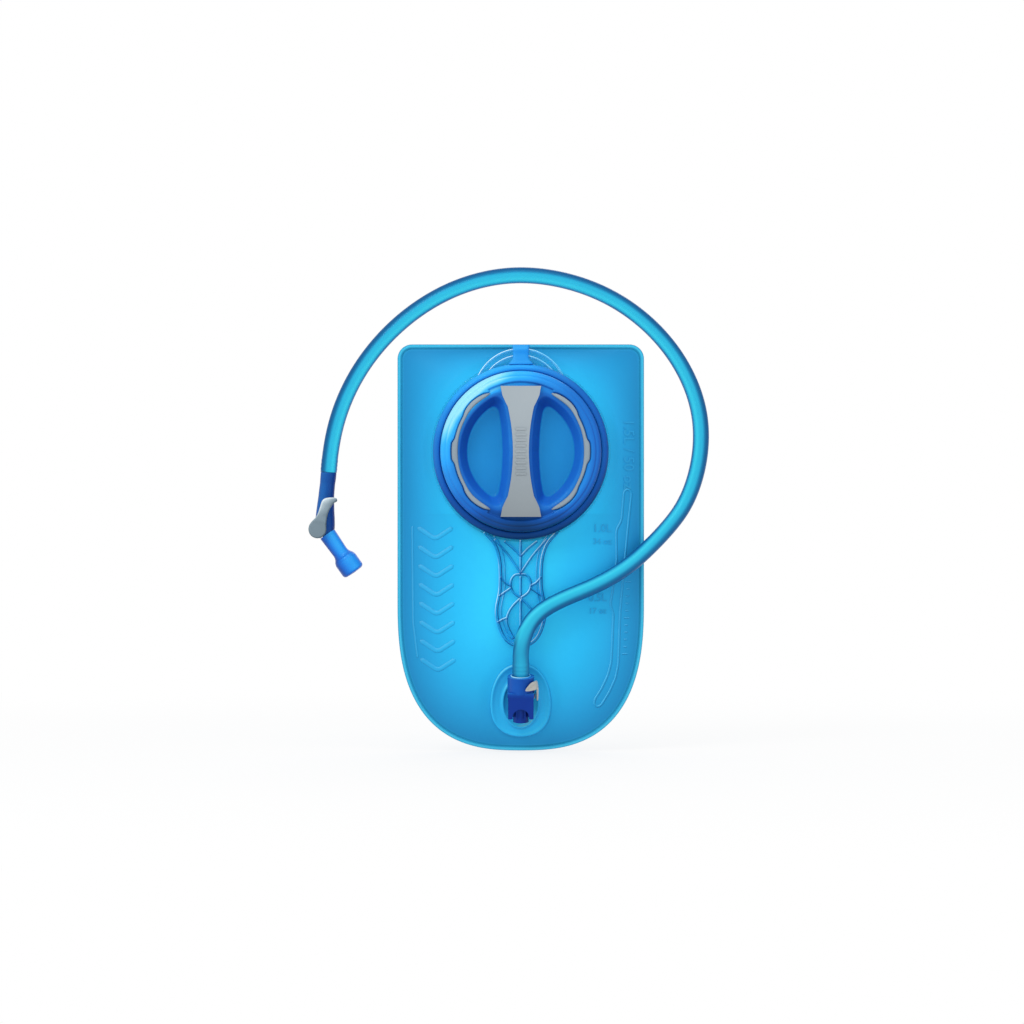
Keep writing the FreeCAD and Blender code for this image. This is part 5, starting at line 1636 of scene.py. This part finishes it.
# ------------------------------------------------------------------ lifting ring
# (radius, depth)
LIFTING_RING = [
    (49.2, 31.9), (55.9, 31.9), (56.5, 32.3), (56.75, 33.2), (56.7, 34.6), (56.3, 35.9),
    (55.6, 36.9), (54.6, 37.6), (53.4, 37.95), (52.6, 37.85), (52.15, 37.35), (52.1, 36.6),
    (52.1, 36.2), (51.35, 36.0), (51.35, 35.45), (52.1, 35.2), (52.1, 33.0), (49.2, 33.0)]
# the ring carries painted light and shade round the cap
attach(turned_ring("tether_ring_web", LIFTING_RING, 240, RING_PAINTED_LIGHT),
       "tether", slot_of["tether_ring"], "tether_ring", "tether_ring")

# soften the edges of CAD pieces that stay: node, width in mm, segments
for name, width, segments in (("outlet_socket", 0.6, 3), ("cap_grip_pad", 0.6, 3),
                              ("tube_connector", 0.15, 2)):
    piece = bpy.data.objects.get(name)
    if piece is None:
        continue
    bevel = piece.modifiers.new("soft_edges", "BEVEL")
    bevel.width = width * MM
    bevel.segments = segments
    bevel.limit_method = "ANGLE"
    bevel.angle_limit = math.radians(38)
    bevel.use_clamp_overlap = True
    bevel.harden_normals = False

# ------------------------------------------------------------------ stage, metres
FLOOR_HALF = 60
FLOOR_GAP = 0.0005
# name, place, target, size, power in watts
LIGHTS = [("key", (-0.55, -0.85, 0.80), (0, 0, 0), 0.5, 4.0),
          ("top", (0.10, -0.45, 1.05), (0, 0, 0), 0.6, 1.6),
          ("fill", (0.9, -0.9, 0.1), (0, 0, -0.03), 0.8, 1.0),
          ("rim_back", (0.2, 0.9, 0.5), (0, 0, 0), 0.8, 2.0)]
CAMERA_X, CAMERA_Y, CAMERA_Z = -0.0057, -0.020, -0.0389
CAMERA_DISTANCE = 2.2
VIEW_WIDTH = 0.6656
SENSOR = 36.0                       # mm


def floor_material():
    """Pale floor that fades into plain white away from the middle"""
    mat = Shader("studio_floor")
    shade = mat.mottle(0.90, 0.93, scale=1.5)
    surface = mat.principled(shade, 0.8)
    white = mat.node("Emission")
    white.inputs["Color"].default_value = (1, 1, 1, 1)
    white.inputs["Strength"].default_value = 1.0
    distance = mat.math("DIVIDE", mat.length(mat.coords()), 2.0)
    fade = mat.ramp(distance, [(0.0, 0.6), (0.12, 0.82), (0.4, 1)], interpolation="EASE")
    return mat.finish(mat.blend(fade, surface, white))


def build_floor():
    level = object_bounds()[0][2] - FLOOR_GAP
    corners = [(x * FLOOR_HALF, y * FLOOR_HALF, level)
               for x, y in ((-1, -1), (1, -1), (1, 1), (-1, 1))]
    mesh = bpy.data.meshes.new("studio_floor")
    mesh.from_pydata(corners, [], [(0, 1, 2, 3)])
    floor = link_object("studio_floor", mesh)
    mesh.materials.append(floor_material())


def build_world():
    """Soft light on the product, plain white to the camera"""
    world = bpy.data.worlds.new("studio")
    scene.world = world
    world.use_nodes = True
    tree = world.node_tree
    tree.nodes.clear()
    output = tree.nodes.new("ShaderNodeOutputWorld")
    backgrounds = []
    for shade, strength in (((0.97, 0.985, 1.0, 1), 0.72), ((1, 1, 1, 1), 1.0)):
        background = tree.nodes.new("ShaderNodeBackground")
        background.inputs["Color"].default_value = shade
        background.inputs["Strength"].default_value = strength
        backgrounds.append(background.outputs[0])
    mixer = tree.nodes.new("ShaderNodeMixShader")
    path = tree.nodes.new("ShaderNodeLightPath")
    for i, source in enumerate([path.outputs["Is Camera Ray"], *backgrounds]):
        tree.links.new(source, mixer.inputs[i])
    tree.links.new(mixer.outputs[0], output.inputs["Surface"])


def add_light(name, location, target, size, power):
    data = bpy.data.lights.new(name, "AREA")
    data.energy = power
    data.size = size
    light = link_object(name, data)
    light.location = location
    aim = Vector(target) - Vector(location)
    light.rotation_euler = aim.to_track_quat("-Z", "Y").to_euler()


def add_camera():
    data = bpy.data.cameras.new("cam")
    camera = link_object("cam", data)
    data.sensor_width = SENSOR
    data.lens = SENSOR * CAMERA_DISTANCE / VIEW_WIDTH
    data.clip_end = 200
    camera.location = (CAMERA_X, CAMERA_Y - CAMERA_DISTANCE, CAMERA_Z)
    camera.rotation_euler = (math.radians(90), 0, 0)
    scene.camera = camera


build_floor()
build_world()
for light in LIGHTS:
    add_light(*light)
add_camera()
scene.view_settings.view_transform = "Standard"
